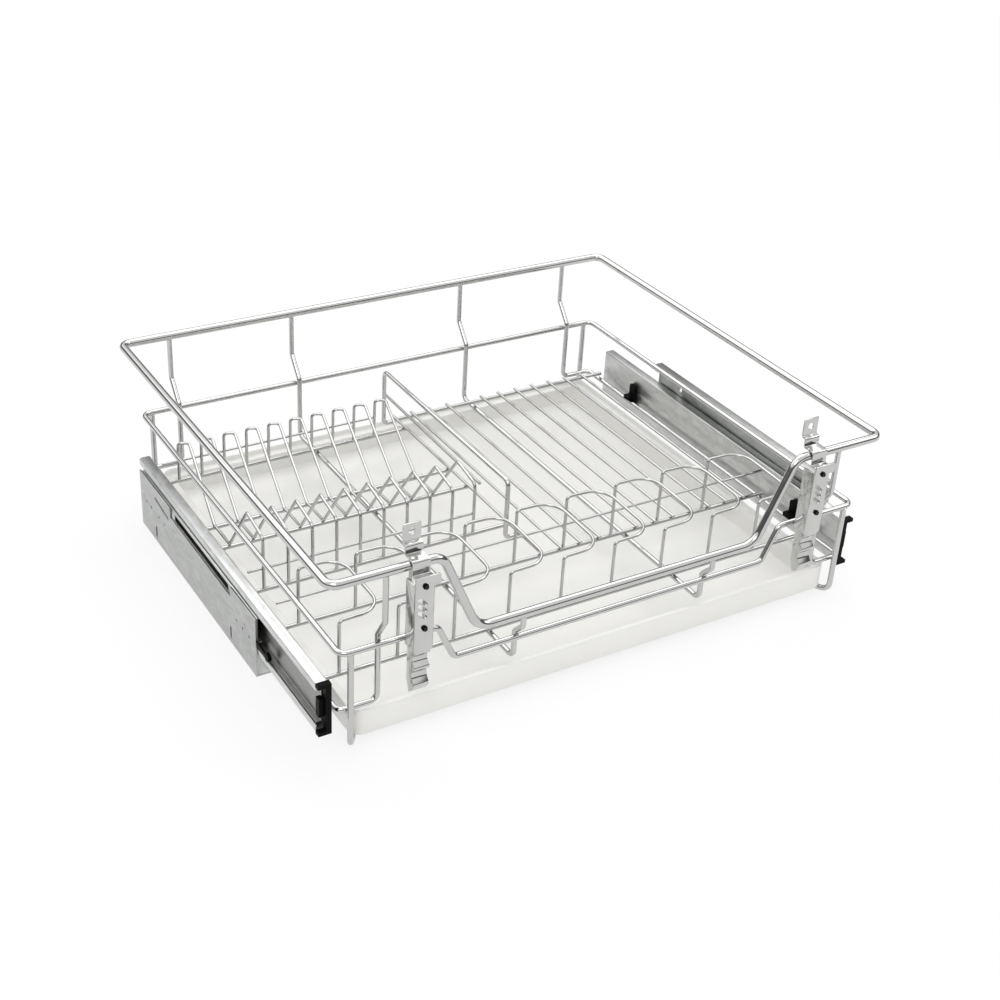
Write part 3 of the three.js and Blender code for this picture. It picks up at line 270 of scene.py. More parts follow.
def bent_wire(name, rows, radius, sides=12, steps=6, closed=False):
    """A round wire, extruded along its straights and spun round its bends.

    Each row is x, y, z and, at a bend, its radius. A closed wire ends where it starts.
    """
    places, bends = bends_of(rows)
    if closed:
        places.append(places[0])
        bends.append(None)
    here = places[0]
    first = bends[1][0] if bends[1] else places[1]
    bpy.ops.mesh.primitive_circle_add(
        vertices=sides,
        radius=radius,
        fill_type="NOTHING",
        location=at(*here),
        rotation=(first - here).normalized().to_track_quat("Z", "Y").to_euler(),
    )
    piece = named(name)
    settle(piece)
    edit(piece)
    bpy.ops.mesh.select_all(action="SELECT")
    for place, bend in zip(places[1:], bends[1:]):
        target = bend[0] if bend else place
        extrude(target - here)
        here = target
        if bend:
            _, centre, axis, turn, here = bend
            count = max(2, round(steps * turn / (math.pi / 2)))
            # spin turns the other way round the axis
            bpy.ops.mesh.spin(steps=count, angle=-turn, center=at(*centre), axis=axis)
    merge_close()
    if not closed:
        bpy.ops.mesh.fill_holes(sides=0)
    finish_mesh()
    if not closed:
        chamfer_ends(piece, radius)
    smooth(piece)
    return piece


def chamfer_ends(piece, radius):
    """Insets both end faces and lifts their middles a little."""
    ends = [face for face in piece.data.polygons if len(face.vertices) > 4]
    ends = [(Vector(face.center), Vector(face.normal)) for face in ends]
    edit(piece, "FACE")
    for centre, normal in ends:
        select_faces(
            piece,
            lambda face: len(face.verts) > 4
            and (face.calc_center_median() - centre).length < MERGE,
        )
        bpy.ops.mesh.inset(thickness=radius * CHAMFER_IN)
        bpy.ops.transform.translate(value=normal * (radius * CHAMFER_LIFT))
    done()


def cross_rail(start, end, y, z, radius):
    """A straight wire across the rack."""
    return bent_wire("rail", [(start, y, z), (end, y, z)], radius)


def folded_sheet(name, line, span, across, sheet, fold):
    """A bent sheet: line is its section across the numbered axis, span its run along it.

    The sheet lies evenly on both sides of the line.
    """
    low, high = span
    places = [on_axes(across, u, v, (low + high) / 2) for u, v in line]
    first, second = places[:2]
    ahead = (second - first).normalized()
    run = on_axes(across, 0, 0, 1)
    turned = Matrix((ahead, run, ahead.cross(run))).transposed()
    bpy.ops.mesh.primitive_plane_add(
        size=1, location=at(*((first + second) / 2)), rotation=turned.to_euler()
    )
    piece = named(name)
    piece.scale = ((second - first).length, high - low, 1)
    settle(piece)
    edit(piece, "EDGE")
    end = at(*second)
    select_edges(
        piece,
        lambda edge: all(abs((v.co - end).dot(ahead)) < MERGE for v in edge.verts),
    )
    for before, after in zip(places[1:], places[2:]):
        extrude(after - before)
    select_edges(piece, lambda edge: len(edge.link_faces) == 2)
    bpy.ops.mesh.bevel(
        offset=fold, offset_type="OFFSET", segments=FOLD_STEPS, affect="EDGES", clamp_overlap=True
    )
    finish_mesh()
    modify(piece, "SOLIDIFY", thickness=sheet, offset=0, use_even_offset=True)
    outwards(piece)
    return piece


def flat_sheet(name, outline, across, span):
    """A flat plate: an outline across the numbered axis, extruded along the span."""
    low, high = span
    bpy.ops.mesh.primitive_circle_add(vertices=len(outline), fill_type="NGON")
    piece = named(name)
    edit(piece)
    mesh = bmesh.from_edit_mesh(piece.data)
    mesh.verts.ensure_lookup_table()
    for vert, (u, v) in zip(mesh.verts, outline):
        vert.co = at(*on_axes(across, u, v, low))
    bmesh.update_edit_mesh(piece.data)
    bpy.ops.mesh.select_all(action="SELECT")
    extrude(on_axes(across, 0, 0, high - low))
    finish_mesh()
    return piece


def block(name, low, high):
    """A box between two corners."""
    low, high = Vector(low), Vector(high)
    bpy.ops.mesh.primitive_cube_add(size=1, location=at(*((low + high) / 2)))
    piece = named(name)
    piece.scale = high - low
    settle(piece)
    return piece


def cylinder(name, across, centre, depth, radius, sides):
    """A cylinder along the numbered axis."""
    bpy.ops.mesh.primitive_cylinder_add(
        vertices=sides,
        radius=radius,
        depth=depth,
        location=at(*centre),
        rotation=on_axes(across, 0, 0, 1).to_track_quat("Z", "Y").to_euler(),
    )
    piece = named(name)
    settle(piece)
    return piece


def punch(across, u, v, span, radius, reach=(0, 0), sides=20):
    """A round or slotted punch along the numbered axis, to cut a hole with."""
    low, high = span
    centre = on_axes(across, u, v, (low + high) / 2)
    tool = cylinder("punch", across, centre, high - low, radius, sides)
    shift = on_axes(across, *reach)
    if shift.length > 0:
        middle = at(*centre)
        edit(tool)
        for sign in (1, -1):
            mesh = bmesh.from_edit_mesh(tool.data)
            for vert in mesh.verts:
                ahead = (vert.co - middle).dot(shift) > MERGE * shift.length
                vert.select_set(ahead == (sign > 0))
            mesh.select_flush_mode()
            bmesh.update_edit_mesh(tool.data)
            bpy.ops.transform.translate(value=sign * shift)
        done()
    return tool


def cut(piece, tools):
    """Cuts the tools out of the piece."""
    combine(piece, joined(tools, "punches"), "DIFFERENCE")


# ---- finishes ----


class Value:
    """A number from a socket: the operators add Math nodes."""

    def __init__(self, maker, socket):
        self.maker = maker
        self.socket = socket

    def math(self, operation, other):
        return self.maker.value("ShaderNodeMath", {"operation": operation}, {0: self, 1: other})

    def __add__(self, other):
        return self.math("ADD", other)

    __radd__ = __add__

    def __mul__(self, other):
        return self.math("MULTIPLY", other)

    def larger(self, other):
        return self.math("MAXIMUM", other)

    def smoothstep(self, low, high, start, end):
        """A soft step from start to end, while the number goes from low to high."""
        ends = {"From Min": low, "From Max": high, "To Min": start, "To Max": end}
        settings = {"interpolation_type": "SMOOTHSTEP"}
        return self.maker.value("ShaderNodeMapRange", settings, {"Value": self, **ends})


class Nodes:
    """Adds nodes to a tree: a node gets its settings first and then its inputs."""

    def __init__(self, tree):
        self.tree = tree

    def link(self, socket, value):
        if isinstance(value, Value):
            value = value.socket
        if isinstance(value, bpy.types.NodeSocket):
            self.tree.links.new(value, socket)
        else:
            socket.default_value = value

    def node(self, kind, settings=(), inputs=()):
        node = self.tree.nodes.new(kind)
        for key, value in dict(settings).items():
            setattr(node, key, value)
        for key, value in dict(inputs).items():
            self.link(node.inputs[key], value)
        return node

    def value(self, kind, settings, inputs, output=0):
        return Value(self, self.node(kind, settings, inputs).outputs[output])

    def seen_by(self, *kinds):
        """1 where one of these kinds of ray arrives, else 0."""
        rays = self.node("ShaderNodeLightPath").outputs
        seen = Value(self, rays[f"Is {kinds[0]} Ray"])
        for kind in kinds[1:]:
            seen = seen.larger(rays[f"Is {kind} Ray"])
        return seen


class Finish(Nodes):
    """One material, textured in object coordinates."""

    def __init__(self, name):
        self.material = bpy.data.materials.new(name)
        self.material.use_nodes = True
        super().__init__(self.material.node_tree)
        self.shader = self.tree.nodes["Principled BSDF"]
        self.place = self.node("ShaderNodeTexCoord").outputs["Object"]

    def stretched(self, scale):
        if scale is None:
            return self.place
        inputs = {"Vector": self.place, "Scale": scale}
        return self.node("ShaderNodeMapping", {}, inputs).outputs[0]

    def noise(self, scale, detail=3.0, stretch=None):
        inputs = {"Vector": self.stretched(stretch), "Scale": scale, "Detail": detail}
        return self.value("ShaderNodeTexNoise", {}, {**inputs, "Roughness": 0.55}, "Fac")

    def flakes(self, scale, stretch):
        inputs = {"Vector": self.stretched(stretch), "Scale": scale}
        colour = self.node("ShaderNodeTexVoronoi", {}, inputs).outputs["Color"]
        return self.value("ShaderNodeSeparateColor", {}, {"Color": colour})

    def tint(self, amount, base, low, high):
        """The base colour, from its shade low times as bright to high times as bright."""
        dark, light = ([min(1.0, part * share) for part in base] + [1.0] for share in (low, high))
        inputs = {0: amount, 6: dark, 7: light}
        return self.node("ShaderNodeMix", {"data_type": "RGBA"}, inputs).outputs[2]

    def relief(self, height, strength, distance):
        inputs = {"Strength": strength, "Distance": distance, "Height": height}
        return self.node("ShaderNodeBump", {}, inputs).outputs[0]

    def set(self, **sockets):
        for key, value in sockets.items():
            self.link(self.shader.inputs[key.replace("_", " ")], value)
        return self.material


def bright_chrome(name, base):
    make = Finish(name)
    cloud = make.noise(38, 2)
    return make.set(
        Base_Color=make.tint(cloud, base, 0.90, 1.06),
        Metallic=1.0,
        Roughness=0.06 + cloud * 0.07 + make.noise(900, 2) * 0.03,
        Normal=make.relief(make.noise(120, 2), 0.12, 0.0006),
    )


def zinc_sheet(name, base):
    make = Finish(name)
    cloud = make.noise(26, 3, (1, 0.35, 1))
    grain = make.noise(420, 3, (1, 0.06, 1))
    spangle = make.flakes(240, (1, 0.4, 1))
    return make.set(
        Base_Color=make.tint(cloud * 0.6 + spangle * 0.4, base, 0.72, 1.14),
        Metallic=1.0,
        Roughness=0.24 + cloud * 0.14 + grain * 0.12,
        Normal=make.relief(grain, 0.10, 0.0004),
    )


def bracket_plating(base):
    make = Finish("bracket_plating")
    cloud = make.noise(60, 3)
    grain = make.noise(700, 2, (1, 1, 0.1))
    return make.set(
        Base_Color=make.tint(cloud, base, 0.88, 1.06),
        Metallic=1.0,
        Roughness=0.07 + cloud * 0.08 + grain * 0.05,
        Normal=make.relief(make.noise(90, 2), 0.15, 0.0008),
    )


def dull_metal(name, base, scale, shades, smoothest, uneven):
    make = Finish(name)
    cloud = make.noise(scale)
    tint = make.tint(cloud, base, *shades)
    return make.set(Base_Color=tint, Metallic=1.0, Roughness=smoothest + cloud * uneven)


def tray_plastic(base):
    make = Finish("tray_plastic")
    grain = make.noise(1400)
    return make.set(
        Base_Color=make.tint(make.noise(9), base, 0.975, 1.015),
        Roughness=0.42 + grain * 0.16,
        Normal=make.relief(grain, 0.12, 0.0003),
    )


def black_plastic(base):
    make = Finish("black_plastic")
    grain = make.noise(2200)
    return make.set(
        Base_Color=make.tint(make.noise(80), base, 0.8, 1.5),
        Roughness=0.42 + grain * 0.2,
        Specular_IOR_Level=0.08,
        Normal=make.relief(grain, 0.2, 0.0003),
    )


FINISHES = {}


def make_finishes():
    colours = bpy.context.scene.dish_rack_colours
    FINISHES["chrome"] = bright_chrome("bright_chrome", colours.chrome)
    FINISHES["wire"] = bright_chrome("thin_wire_chrome", colours.wire)
    FINISHES["plating"] = bracket_plating(colours.plating)
    FINISHES["zinc"] = zinc_sheet("cabinet_plate_zinc", colours.zinc)
    FINISHES["runner"] = zinc_sheet("slide_zinc", colours.runner)
    # Darker zinc for the middle channels: painted shade of their recess between the channel lips
    FINISHES["middle"] = zinc_sheet("middle_channel_shaded_zinc", colours.middle)
    FINISHES["dark_screw"] = dull_metal("dark_screw", colours.screw, 500, (0.7, 1.3), 0.3, 0.2)
    FINISHES["steel"] = dull_metal("plain_steel", colours.steel, 300, (0.8, 1.1), 0.22, 0.16)
    FINISHES["tray"] = tray_plastic(colours.tray)
    FINISHES["black"] = black_plastic(colours.black)


# ---- sizes and colours ----


def length(name, description, default):
    return bpy.props.FloatProperty(
        name=name, description=description, default=default, min=0, unit="LENGTH", precision=4
    )


def colour(name, description, default):
    limits = {"min": 0, "max": 1, "size": 3, "subtype": "COLOR"}
    return bpy.props.FloatVectorProperty(
        name=name, description=description, default=default, **limits
    )


class DishRackSizes(bpy.types.PropertyGroup):
    rim: length("Rim wire radius", "Radius of the heavy wire of the top rim", 0.004)
    mid_rim: length("Mid rim radius", "Radius of the wire that runs round below the rim", 0.00275)
    frame: length("Frame wire radius", "Radius of the posts and runs of the frame", 0.0025)
    carrier: length("Carrier radius", "Radius of the wires that carry the drip tray", 0.00275)
    rail: length("Base rail radius", "Radius of the rails under the plates and bowls", 0.002)
    loop: length("Loop wire radius", "Radius of the plate, bowl and runner wires", 0.0015)
    divider: length("Divider radius", "Radius of the divider wire", 0.00225)
    sheet: length("Slide sheet", "Thickness of the sheet of the slides", 0.0012)
    strap_sheet: length("Strap sheet", "Thickness of the strap and toe of a bracket", 0.0014)
    plate_pitch: length("Plate pitch", "Distance from one plate wire to the next", 0.0236)
    bowl_pitch: length("Bowl pitch", "Distance from one bowl loop to the next", 0.0538)
    runner_pitch: length("Runner pitch", "Distance from one runner to the next", 0.0215)


class DishRackColours(bpy.types.PropertyGroup):
    chrome: colour("Chrome", "Colour of the bright wire", (0.55, 0.55, 0.545))
    wire: colour("Thin wire", "Colour of the plate, bowl and runner wires", (0.48, 0.48, 0.475))
    plating: colour("Bracket plating", "Colour of the brackets", (0.56, 0.56, 0.55))
    zinc: colour("Cabinet plates", "Colour of the punched cabinet plates", (0.50, 0.51, 0.50))
    runner: colour("Slides", "Colour of the outer slide channels", (0.68, 0.69, 0.68))
    # The middle channels' colour is darker than the other zinc: painted shade of their recess
    # between the lips
    middle: colour("Middle channels", "Colour of the shade_darkened middle channels", (0.34, 0.34, 0.33))
    steel: colour("Steel", "Colour of rivets and balls", (0.42, 0.42, 0.42))
    screw: colour("Screws", "Colour of the bracket screws", (0.03, 0.03, 0.03))
    tray: colour("Tray", "Colour of the drip tray", (0.87, 0.865, 0.84))
    black: colour("Black plastic", "Colour of caps, clips and latches", (0.0015, 0.0015, 0.0015))


class PieceOperator(bpy.types.Operator):
    bl_options = {"REGISTER", "UNDO"}

    def execute(self, context):
        clear_selection()
        self.build(context.scene.dish_rack_sizes)
        clear_selection()
        return {"FINISHED"}


# ---- wires ----

# The wires' places, each with its bend radius; the rims from the back corner to the dip
RIM_DEPTH = 0.46
DIP_Z = -0.0785
TOP_RIM = (
    (0.275, RIM_DEPTH, 0, 0.009),
    (0.275, 0, 0, 0.009),
    (0.178, 0, 0, 0.014),
    (0.143, 0, DIP_Z, 0.02),
)
MID_FRONT = 0.00645
MID_BACK = 0.44755
MID_Z = -0.072
MID_RIM = (
    (0.2625, MID_BACK, MID_Z, 0.008),
    (0.2625, MID_FRONT, MID_Z, 0.008),
    (0.176, MID_FRONT, MID_Z, 0.007),
    (0.16, MID_FRONT, -0.1065, 0.007),
)

# Frame wires and tray carriers
OUTER_X = 0.227
INNER_X = 0.098
SIDE_RUN_X = 0.262
FRAME_BACK = 0.442
FRAME_FRONT = 0.012
FRAME_FLOOR = -0.131
CORNER = 0.007
STEP_CORNER = 0.005
FRAME_BITE = 0.0006
CARRIER_X = 0.2535
CARRIER_RUN_X = 0.244
CARRIER_JOG = 0.014
CARRIER_Z = -0.165
CARRIER_BITE = 0.0004

# Base wires, each resting on the one below
RAIL_Z = -0.1262
GRID_RAIL_X = -0.0007
GRID_RAIL_Y = 0.42
GRID_RAIL_Z = -0.1246
LOOP_Z = -0.1236
RUNNER_Z = -0.1224
RAIL_END_X = 0.2635
PLATE_RAIL_END_X = 0.004
THIN_RADIUS = 0.0012
PLATE_THIN_Z = -0.105
BOWL_THIN_Z = -0.1
BESIDE_LEG = 0.0018
RUNNER_COUNT = 12
RUNNER = ((0.0015, 0.425, RUNNER_Z), (0.0015, 0.126, RUNNER_Z))
PLATE_WIRE = (
    (-0.246, 0.4, RAIL_Z),
    (-0.246, 0.399, -0.084, 0.004),
    (-0.236, 0.395, -0.084, 0.004),
    (-0.248, 0.305, LOOP_Z, 0.007),
    (-0.248, 0.268, LOOP_Z, 0.004),
    (-0.248, 0.224, -0.065, 0.004),
    (-0.248, 0.19, -0.072, 0.007),
    (-0.248, 0.19, RAIL_Z),
)
PLATE_COUNT = 10
PLATE_RAILS_Y = (0.4, 0.305, 0.268, 0.19)
PLATE_LEGS_Y = (0.3995, 0.19)
BOWL_WIRE = (
    (-0.2425, 0.129, RAIL_Z),
    (-0.2425, 0.129, -0.069, 0.004),
    (-0.203, 0.129, -0.07, 0.0355),
    (-0.203, 0.05, -0.072, 0.0355),
    (-0.2425, 0.05, -0.073, 0.004),
    (-0.2425, 0.05, RAIL_Z),
)
BOWL_COUNT = 9
BOWL_RAILS_Y = (0.129, 0.05)
DIVIDER_WIRE = (
    (-0.001, GRID_RAIL_Y, -0.12645),
    (-0.012, GRID_RAIL_Y, -0.12645, 0.006),
    (-0.012, GRID_RAIL_Y, -0.065, 0.006),
    (-0.012, 0.17, -0.065, 0.006),
    (-0.012, 0.17, -0.12645, 0.006),
    (PLATE_RAIL_END_X, 0.17, -0.12645),
)


def closed_rim(name, right, radius, sides, steps):
    """A rim that is alike left and right, from the middle of its back round both halves."""
    left = [(-x, y, z, bend) for x, y, z, bend in reversed(right)]
    rows = [(0, *right[0][1:3]), *right, *left]
    return bent_wire(name, rows, radius, sides, steps, closed=True)


class RACK_OT_top_rim(PieceOperator):
    """Heavy top rim with its low front dip"""

    bl_idname = "rack.top_rim"
    bl_label = "Top rim"

    def build(self, sizes):
        piece = closed_rim("top_rim_wire", TOP_RIM, sizes.rim, 20, 8)
        finished(piece, "chrome", "basket", "bright_wire", "top_rim")


class RACK_OT_mid_rim(PieceOperator):
    """Mid rim, which follows the dip below the top rim"""

    bl_idname = "rack.mid_rim"
    bl_label = "Mid rim"

    def build(self, sizes):
        piece = closed_rim("mid_rim_wire", MID_RIM, sizes.mid_rim, 16, 6)
        finished(piece, "chrome", "basket", "bright_wire", "mid_rim")


class RACK_OT_frame_wires(PieceOperator):
    """Outer and inner frame wires with their stepped posts"""

    bl_idname = "rack.frame_wires"
    bl_label = "Frame wires"

    def build(self, sizes):
        under = FRAME_BITE - sizes.rim
        side_run = [(SIDE_RUN_X, y, FRAME_FLOOR, CORNER) for y in (FRAME_BACK, FRAME_FRONT)]
        for label, x, run, low, high, end in (
            ("outer", OUTER_X, side_run, -0.066, -0.047, under),
            ("inner", INNER_X, [], -0.104, -0.092, DIP_Z + under),
        ):
            rows = [
                (x, RIM_DEPTH, under),
                (x, RIM_DEPTH, -0.045, STEP_CORNER),
                (x, FRAME_BACK, -0.0665, STEP_CORNER),
                (x, FRAME_BACK, FRAME_FLOOR, CORNER),
                *run,
                (x, FRAME_FRONT, FRAME_FLOOR, CORNER),
                (x, FRAME_FRONT, low, STEP_CORNER),
                (x, 0, high, STEP_CORNER),
                (x, 0, end),
            ]
            pair = both_sides(bent_wire("post", rows, sizes.frame, 14), f"{label}_post_wire")
            for side, piece in pair.items():
                node = f"{label}_frame_wire_{side}"
                finished(piece, "chrome", "basket", "bright_wire", node)


class RACK_OT_tray_carriers(PieceOperator):
    """Two wires that carry the drip tray"""

    bl_idname = "rack.tray_carriers"
    bl_label = "Tray carriers"

    def build(self, sizes):
        top = MID_Z - sizes.mid_rim + CARRIER_BITE
        rows = [
            (CARRIER_X, MID_FRONT, top),
            (CARRIER_X, MID_FRONT, CARRIER_Z, CORNER),
            (CARRIER_RUN_X, MID_FRONT + CARRIER_JOG, CARRIER_Z, CORNER),
            (CARRIER_RUN_X, MID_BACK - CARRIER_JOG, CARRIER_Z, CORNER),
            (CARRIER_X, MID_BACK, CARRIER_Z, CORNER),
            (CARRIER_X, MID_BACK, top),
        ]
        pair = both_sides(bent_wire("carrier", rows, sizes.carrier, 14), "carrier_wire")
        for side, piece in pair.items():
            finished(piece, "chrome", "basket", "bright_wire", f"tray_carrier_{side}")


class RACK_OT_base_grid(PieceOperator):
    """Back rail with the runners under the dish side"""

    bl_idname = "rack.base_grid"
    bl_label = "Base grid"

    def build(self, sizes):
        rail = cross_rail(GRID_RAIL_X, RAIL_END_X, GRID_RAIL_Y, GRID_RAIL_Z, sizes.rail)
        runner = bent_wire("runner", RUNNER, sizes.loop)
        runners = row_of(runner, RUNNER_COUNT, sizes.runner_pitch, left_out=4)
        piece = joined([rail, *runners], "runner_wires")
        finished(piece, "wire", "basket", "bright_wire", "base_grid")


class RACK_OT_plate_rack(PieceOperator):
    """Ten plate wires with their rails and the side wire"""

    bl_idname = "rack.plate_rack"
    bl_label = "Plate rack"

    def build(self, sizes):
        last = PLATE_WIRE[0][0] + (PLATE_COUNT - 1) * sizes.plate_pitch
        wire = bent_wire("plate_wire", PLATE_WIRE, sizes.loop)
        parts = row_of(wire, PLATE_COUNT, sizes.plate_pitch)
        for y in PLATE_RAILS_Y:
            parts.append(cross_rail(-RAIL_END_X, PLATE_RAIL_END_X, y, RAIL_Z, sizes.rail))
        for y in PLATE_LEGS_Y:
            parts.append(cross_rail(-SIDE_RUN_X, last, y + BESIDE_LEG, PLATE_THIN_Z, THIN_RADIUS))
        piece = joined(parts, "plate_wires")
        finished(piece, "wire", "basket", "bright_wire", "plate_rack")
        beside = last + 2 * sizes.loop
        rows = [(beside + 0.01, 0.403, -0.081), (beside - 0.002, 0.187, -0.0705)]
        side = bent_wire("plate_side_wire", rows, sizes.loop)
        finished(side, "wire", "basket", "bright_wire", "plate_rack_side_wire")


class RACK_OT_bowl_rack(PieceOperator):
    """Nine round loops with their rails"""

    bl_idname = "rack.bowl_rack"
    bl_label = "Bowl rack"

    def build(self, sizes):
        wire = bent_wire("bowl_wire", BOWL_WIRE, sizes.loop, steps=10)
        parts = row_of(wire, BOWL_COUNT, sizes.bowl_pitch)
        for y in BOWL_RAILS_Y:
            parts.append(cross_rail(-RAIL_END_X, RAIL_END_X, y, RAIL_Z, sizes.rail))
        y = BOWL_RAILS_Y[0] + BESIDE_LEG
        parts.append(cross_rail(-SIDE_RUN_X, SIDE_RUN_X, y, BOWL_THIN_Z, THIN_RADIUS))
        piece = joined(parts, "bowl_wires")
        finished(piece, "wire", "basket", "bright_wire", "bowl_rack")


class RACK_OT_divider(PieceOperator):
    """Hoop between the plate side and the dish side"""

    bl_idname = "rack.divider"
    bl_label = "Divider"

    def build(self, sizes):
        piece = bent_wire("divider_wire", DIVIDER_WIRE, sizes.divider, 14)
        finished(piece, "chrome", "basket", "bright_wire", "divider")


# ---- brackets ----

BRACKET_X = 0.1992
BRACKET_HALF = 0.0088
BRACKET_SHEET = 0.0015
BRACKET_FRONT = -0.0135
FLANGE_BACK = 0.0025
EAR_REACH = 0.0045
STRAP_CLEAR = 0.0003
LAP_HALF = 0.007
LAP_DEPTH = (-0.0135, -0.0085)
SCREW_Z = {"upper": -0.014, "lower": -0.0535}
SCREW_HOLE = 0.0026
SCREW_BACK = -0.01
SCREW_LENGTH = 0.0052
LOUVRE_X = -0.0025
LOUVRE_Z = (-0.0278, -0.03375, -0.0401)
LOUVRE_RADIUS = 0.0017
LOUVRE_REACH = (0.0026, -0.0024)
TOE_CLEAR = 0.0002
TOE_BACK = 0.0015
TOE_TOP = -0.014
TOE_STEP = -0.01
TOE_LINE = (
    (-0.011, -0.05),
    (-0.011, -0.0787),
    (-0.00605, -0.0829),
    (-0.00605, -0.0885),
    (-0.011, -0.0934),
    (-0.0055, -0.099),
    (-0.00605, -0.1046),
    (-0.01045, -0.1102),
    (-0.0066, -0.1165),
    (-0.0022, -0.12),
)


class RACK_OT_brackets(PieceOperator):
    """Slotted channel with its ear, strap with its tab, stepped toe and screws"""

    bl_idname = "rack.brackets"
    bl_label = "Front panel brackets"

    def build(self, sizes):
        for piece, name, node in (
            (self.channel(), "bracket_channel", "panel_bracket"),
            (self.strap(sizes), "bracket_strap", "rim_strap"),
            (self.toe(sizes.strap_sheet), "bracket_foot", "bracket_toe"),
        ):
            for side, part in self.on_both(piece, name).items():
                finished(part, "plating", "basket", "bright_wire", f"{node}_{side}")
        for label, z in SCREW_Z.items():
            for side, part in self.on_both(self.screw(z), f"{label}_screw").items():
                node = f"bracket_screw_{label}_{side}"
                finished(part, "dark_screw", "basket", "plain_steel", node)

    def on_both(self, piece, name):
        """Two like copies of a piece that was modelled about the middle plane."""
        pair = {}
        for side, sign in SIDES.items():
            pair[side] = copied(piece, f"{name}_{side}", (sign * BRACKET_X, 0, 0))
        bpy.data.objects.remove(piece)
        return pair

    def channel(self):
        half = BRACKET_SHEET / 2
        side = BRACKET_HALF - half
        line = [
            (-side, FLANGE_BACK),
            (-side, BRACKET_FRONT + half),
            (side, BRACKET_FRONT + half),
            (side, FLANGE_BACK),
        ]
        span = (-0.075, -0.013)
        face = folded_sheet("bracket_face", line, span, 2, BRACKET_SHEET, fold=0.0018)
        ear = block(
            "ear",
            (-BRACKET_HALF, BRACKET_FRONT, -0.0145),
            (BRACKET_HALF + EAR_REACH, BRACKET_FRONT + BRACKET_SHEET, -0.005),
        )
        edit(ear, "EDGE")
        select_edges(
            ear,
            lambda edge: abs(edge.verts[0].co.y - edge.verts[1].co.y) > MERGE
            and edge.verts[0].co.x > ORIGIN.x,
        )
        bpy.ops.mesh.bevel(offset=0.002, segments=4, affect="EDGES")
        done()
        combine(face, ear, "UNION")
        through = (BRACKET_FRONT - 0.003, BRACKET_FRONT + 0.004)
        tools = [punch(1, 0, z, through, SCREW_HOLE) for z in SCREW_Z.values()]
        for z in LOUVRE_Z:
            tools.append(punch(1, LOUVRE_X, z, through, LOUVRE_RADIUS, LOUVRE_REACH))
        cut(face, tools)
        soften(face, 0.0003)
        return face

    def strap(self, sizes):
        reach = sizes.rim + STRAP_CLEAR + sizes.strap_sheet / 2
        line = [
            (0.012, 0.03),
            (0.012, 0.0135),
            (0.0075, 0.0128),
            (0.0075, reach),
            (-reach, reach),
            (-reach, -0.0075),
            (-0.011, -0.008),
            (-0.011, -0.024),
        ]
        strap = folded_sheet("strap", line, (-0.008, 0.008), 0, sizes.strap_sheet, fold=0.0012)
        tools = [
            punch(1, 0, 0.0225, (0.008, 0.016), radius=0.003),
            punch(1, 0, SCREW_Z["upper"], LAP_DEPTH, SCREW_HOLE),
        ]
        near, far = LAP_DEPTH
        for low, high in ((-0.0095, -LAP_HALF), (LAP_HALF, 0.0095)):
            tools.append(block("side", (low, near, -0.026), (high, far, -0.0127)))
        cut(strap, tools)
        soften(strap, 0.0003)
        return strap

    def toe(self, sheet):
        half = LAP_HALF - TOE_CLEAR
        toe = folded_sheet("toe", TOE_LINE, (-half, half), 0, sheet, fold=0.0016)
        outline = [(TOE_BACK, TOE_TOP), (TOE_STEP, TOE_TOP), (TOE_STEP, TOE_LINE[0][1])]
        outline += [*TOE_LINE, (TOE_BACK, -0.109)]
        for inner in (-LAP_HALF, LAP_HALF - sheet):
            combine(toe, flat_sheet("cheek", outline, 0, (inner, inner + sheet)), "UNION")
        cut(toe, [punch(1, 0, SCREW_Z["lower"], LAP_DEPTH, SCREW_HOLE)])
        soften(toe, 0.0003)
        return toe

    def screw(self, z):
        """Round head at the back with a cross recess, and the shank through both sheets."""
        centre = (0, SCREW_BACK - SCREW_LENGTH / 2, z)
        screw = cylinder("screw", 1, centre, SCREW_LENGTH, radius=0.0019, sides=20)
        edit(screw, "FACE")
        select_faces(screw, lambda face: face.normal.y > 0.9)
        extrude((0, 0.0003, 0))
        bpy.ops.transform.resize(value=(1.7, 1, 1.7))
        extrude((0, 0.0009, 0))
        bpy.ops.mesh.inset(thickness=0.0008)
        bpy.ops.transform.translate(value=(0, 0.0005, 0))
        done()
        recess = (SCREW_BACK + 0.0009, SCREW_BACK + 0.003)
        for reach in ((0.0014, 0), (0, 0.0014)):
            cut(screw, [punch(1, 0, z, recess, 0.0004, reach, 8)])
        soften(screw, 0.0001, 1)
        return screw


# ---- slides ----

SLIDE_Z = -0.1235
SLIDE_FRONT = {"left": 0.015, "right": 0.0235}
SLIDE_LENGTH = 0.398
# Web, tip and reach up and down of the channels
CHANNEL = (0.2693, 0.2802, 0.0245)
MIDDLE = (0.272, 0.2782, 0.0187)
RAIL = (0.2802, 0.2754, 0.0129)
CHANNEL_HOLE_SHARES = (0.153, 0.847)
CHANNEL_HOLE_Z = FRAME_FLOOR + 0.014
RAIL_THROUGH = (0.278, 0.281)

# Ball cages: web, tip, height and place of the ball rows, start and length
CAGES = {
    "outer": (0.2709, 0.2766, 0.021, 0.2746, 0.109, 0.134),
    "inner": (0.2736, 0.278, 0.0152, 0.2763, 0.104, 0.07),
}
CAGE_SHEET = 0.0006
CAGE_END = 0.006
BALL_RADIUS = 0.00195
BALL_PITCH = 0.0125

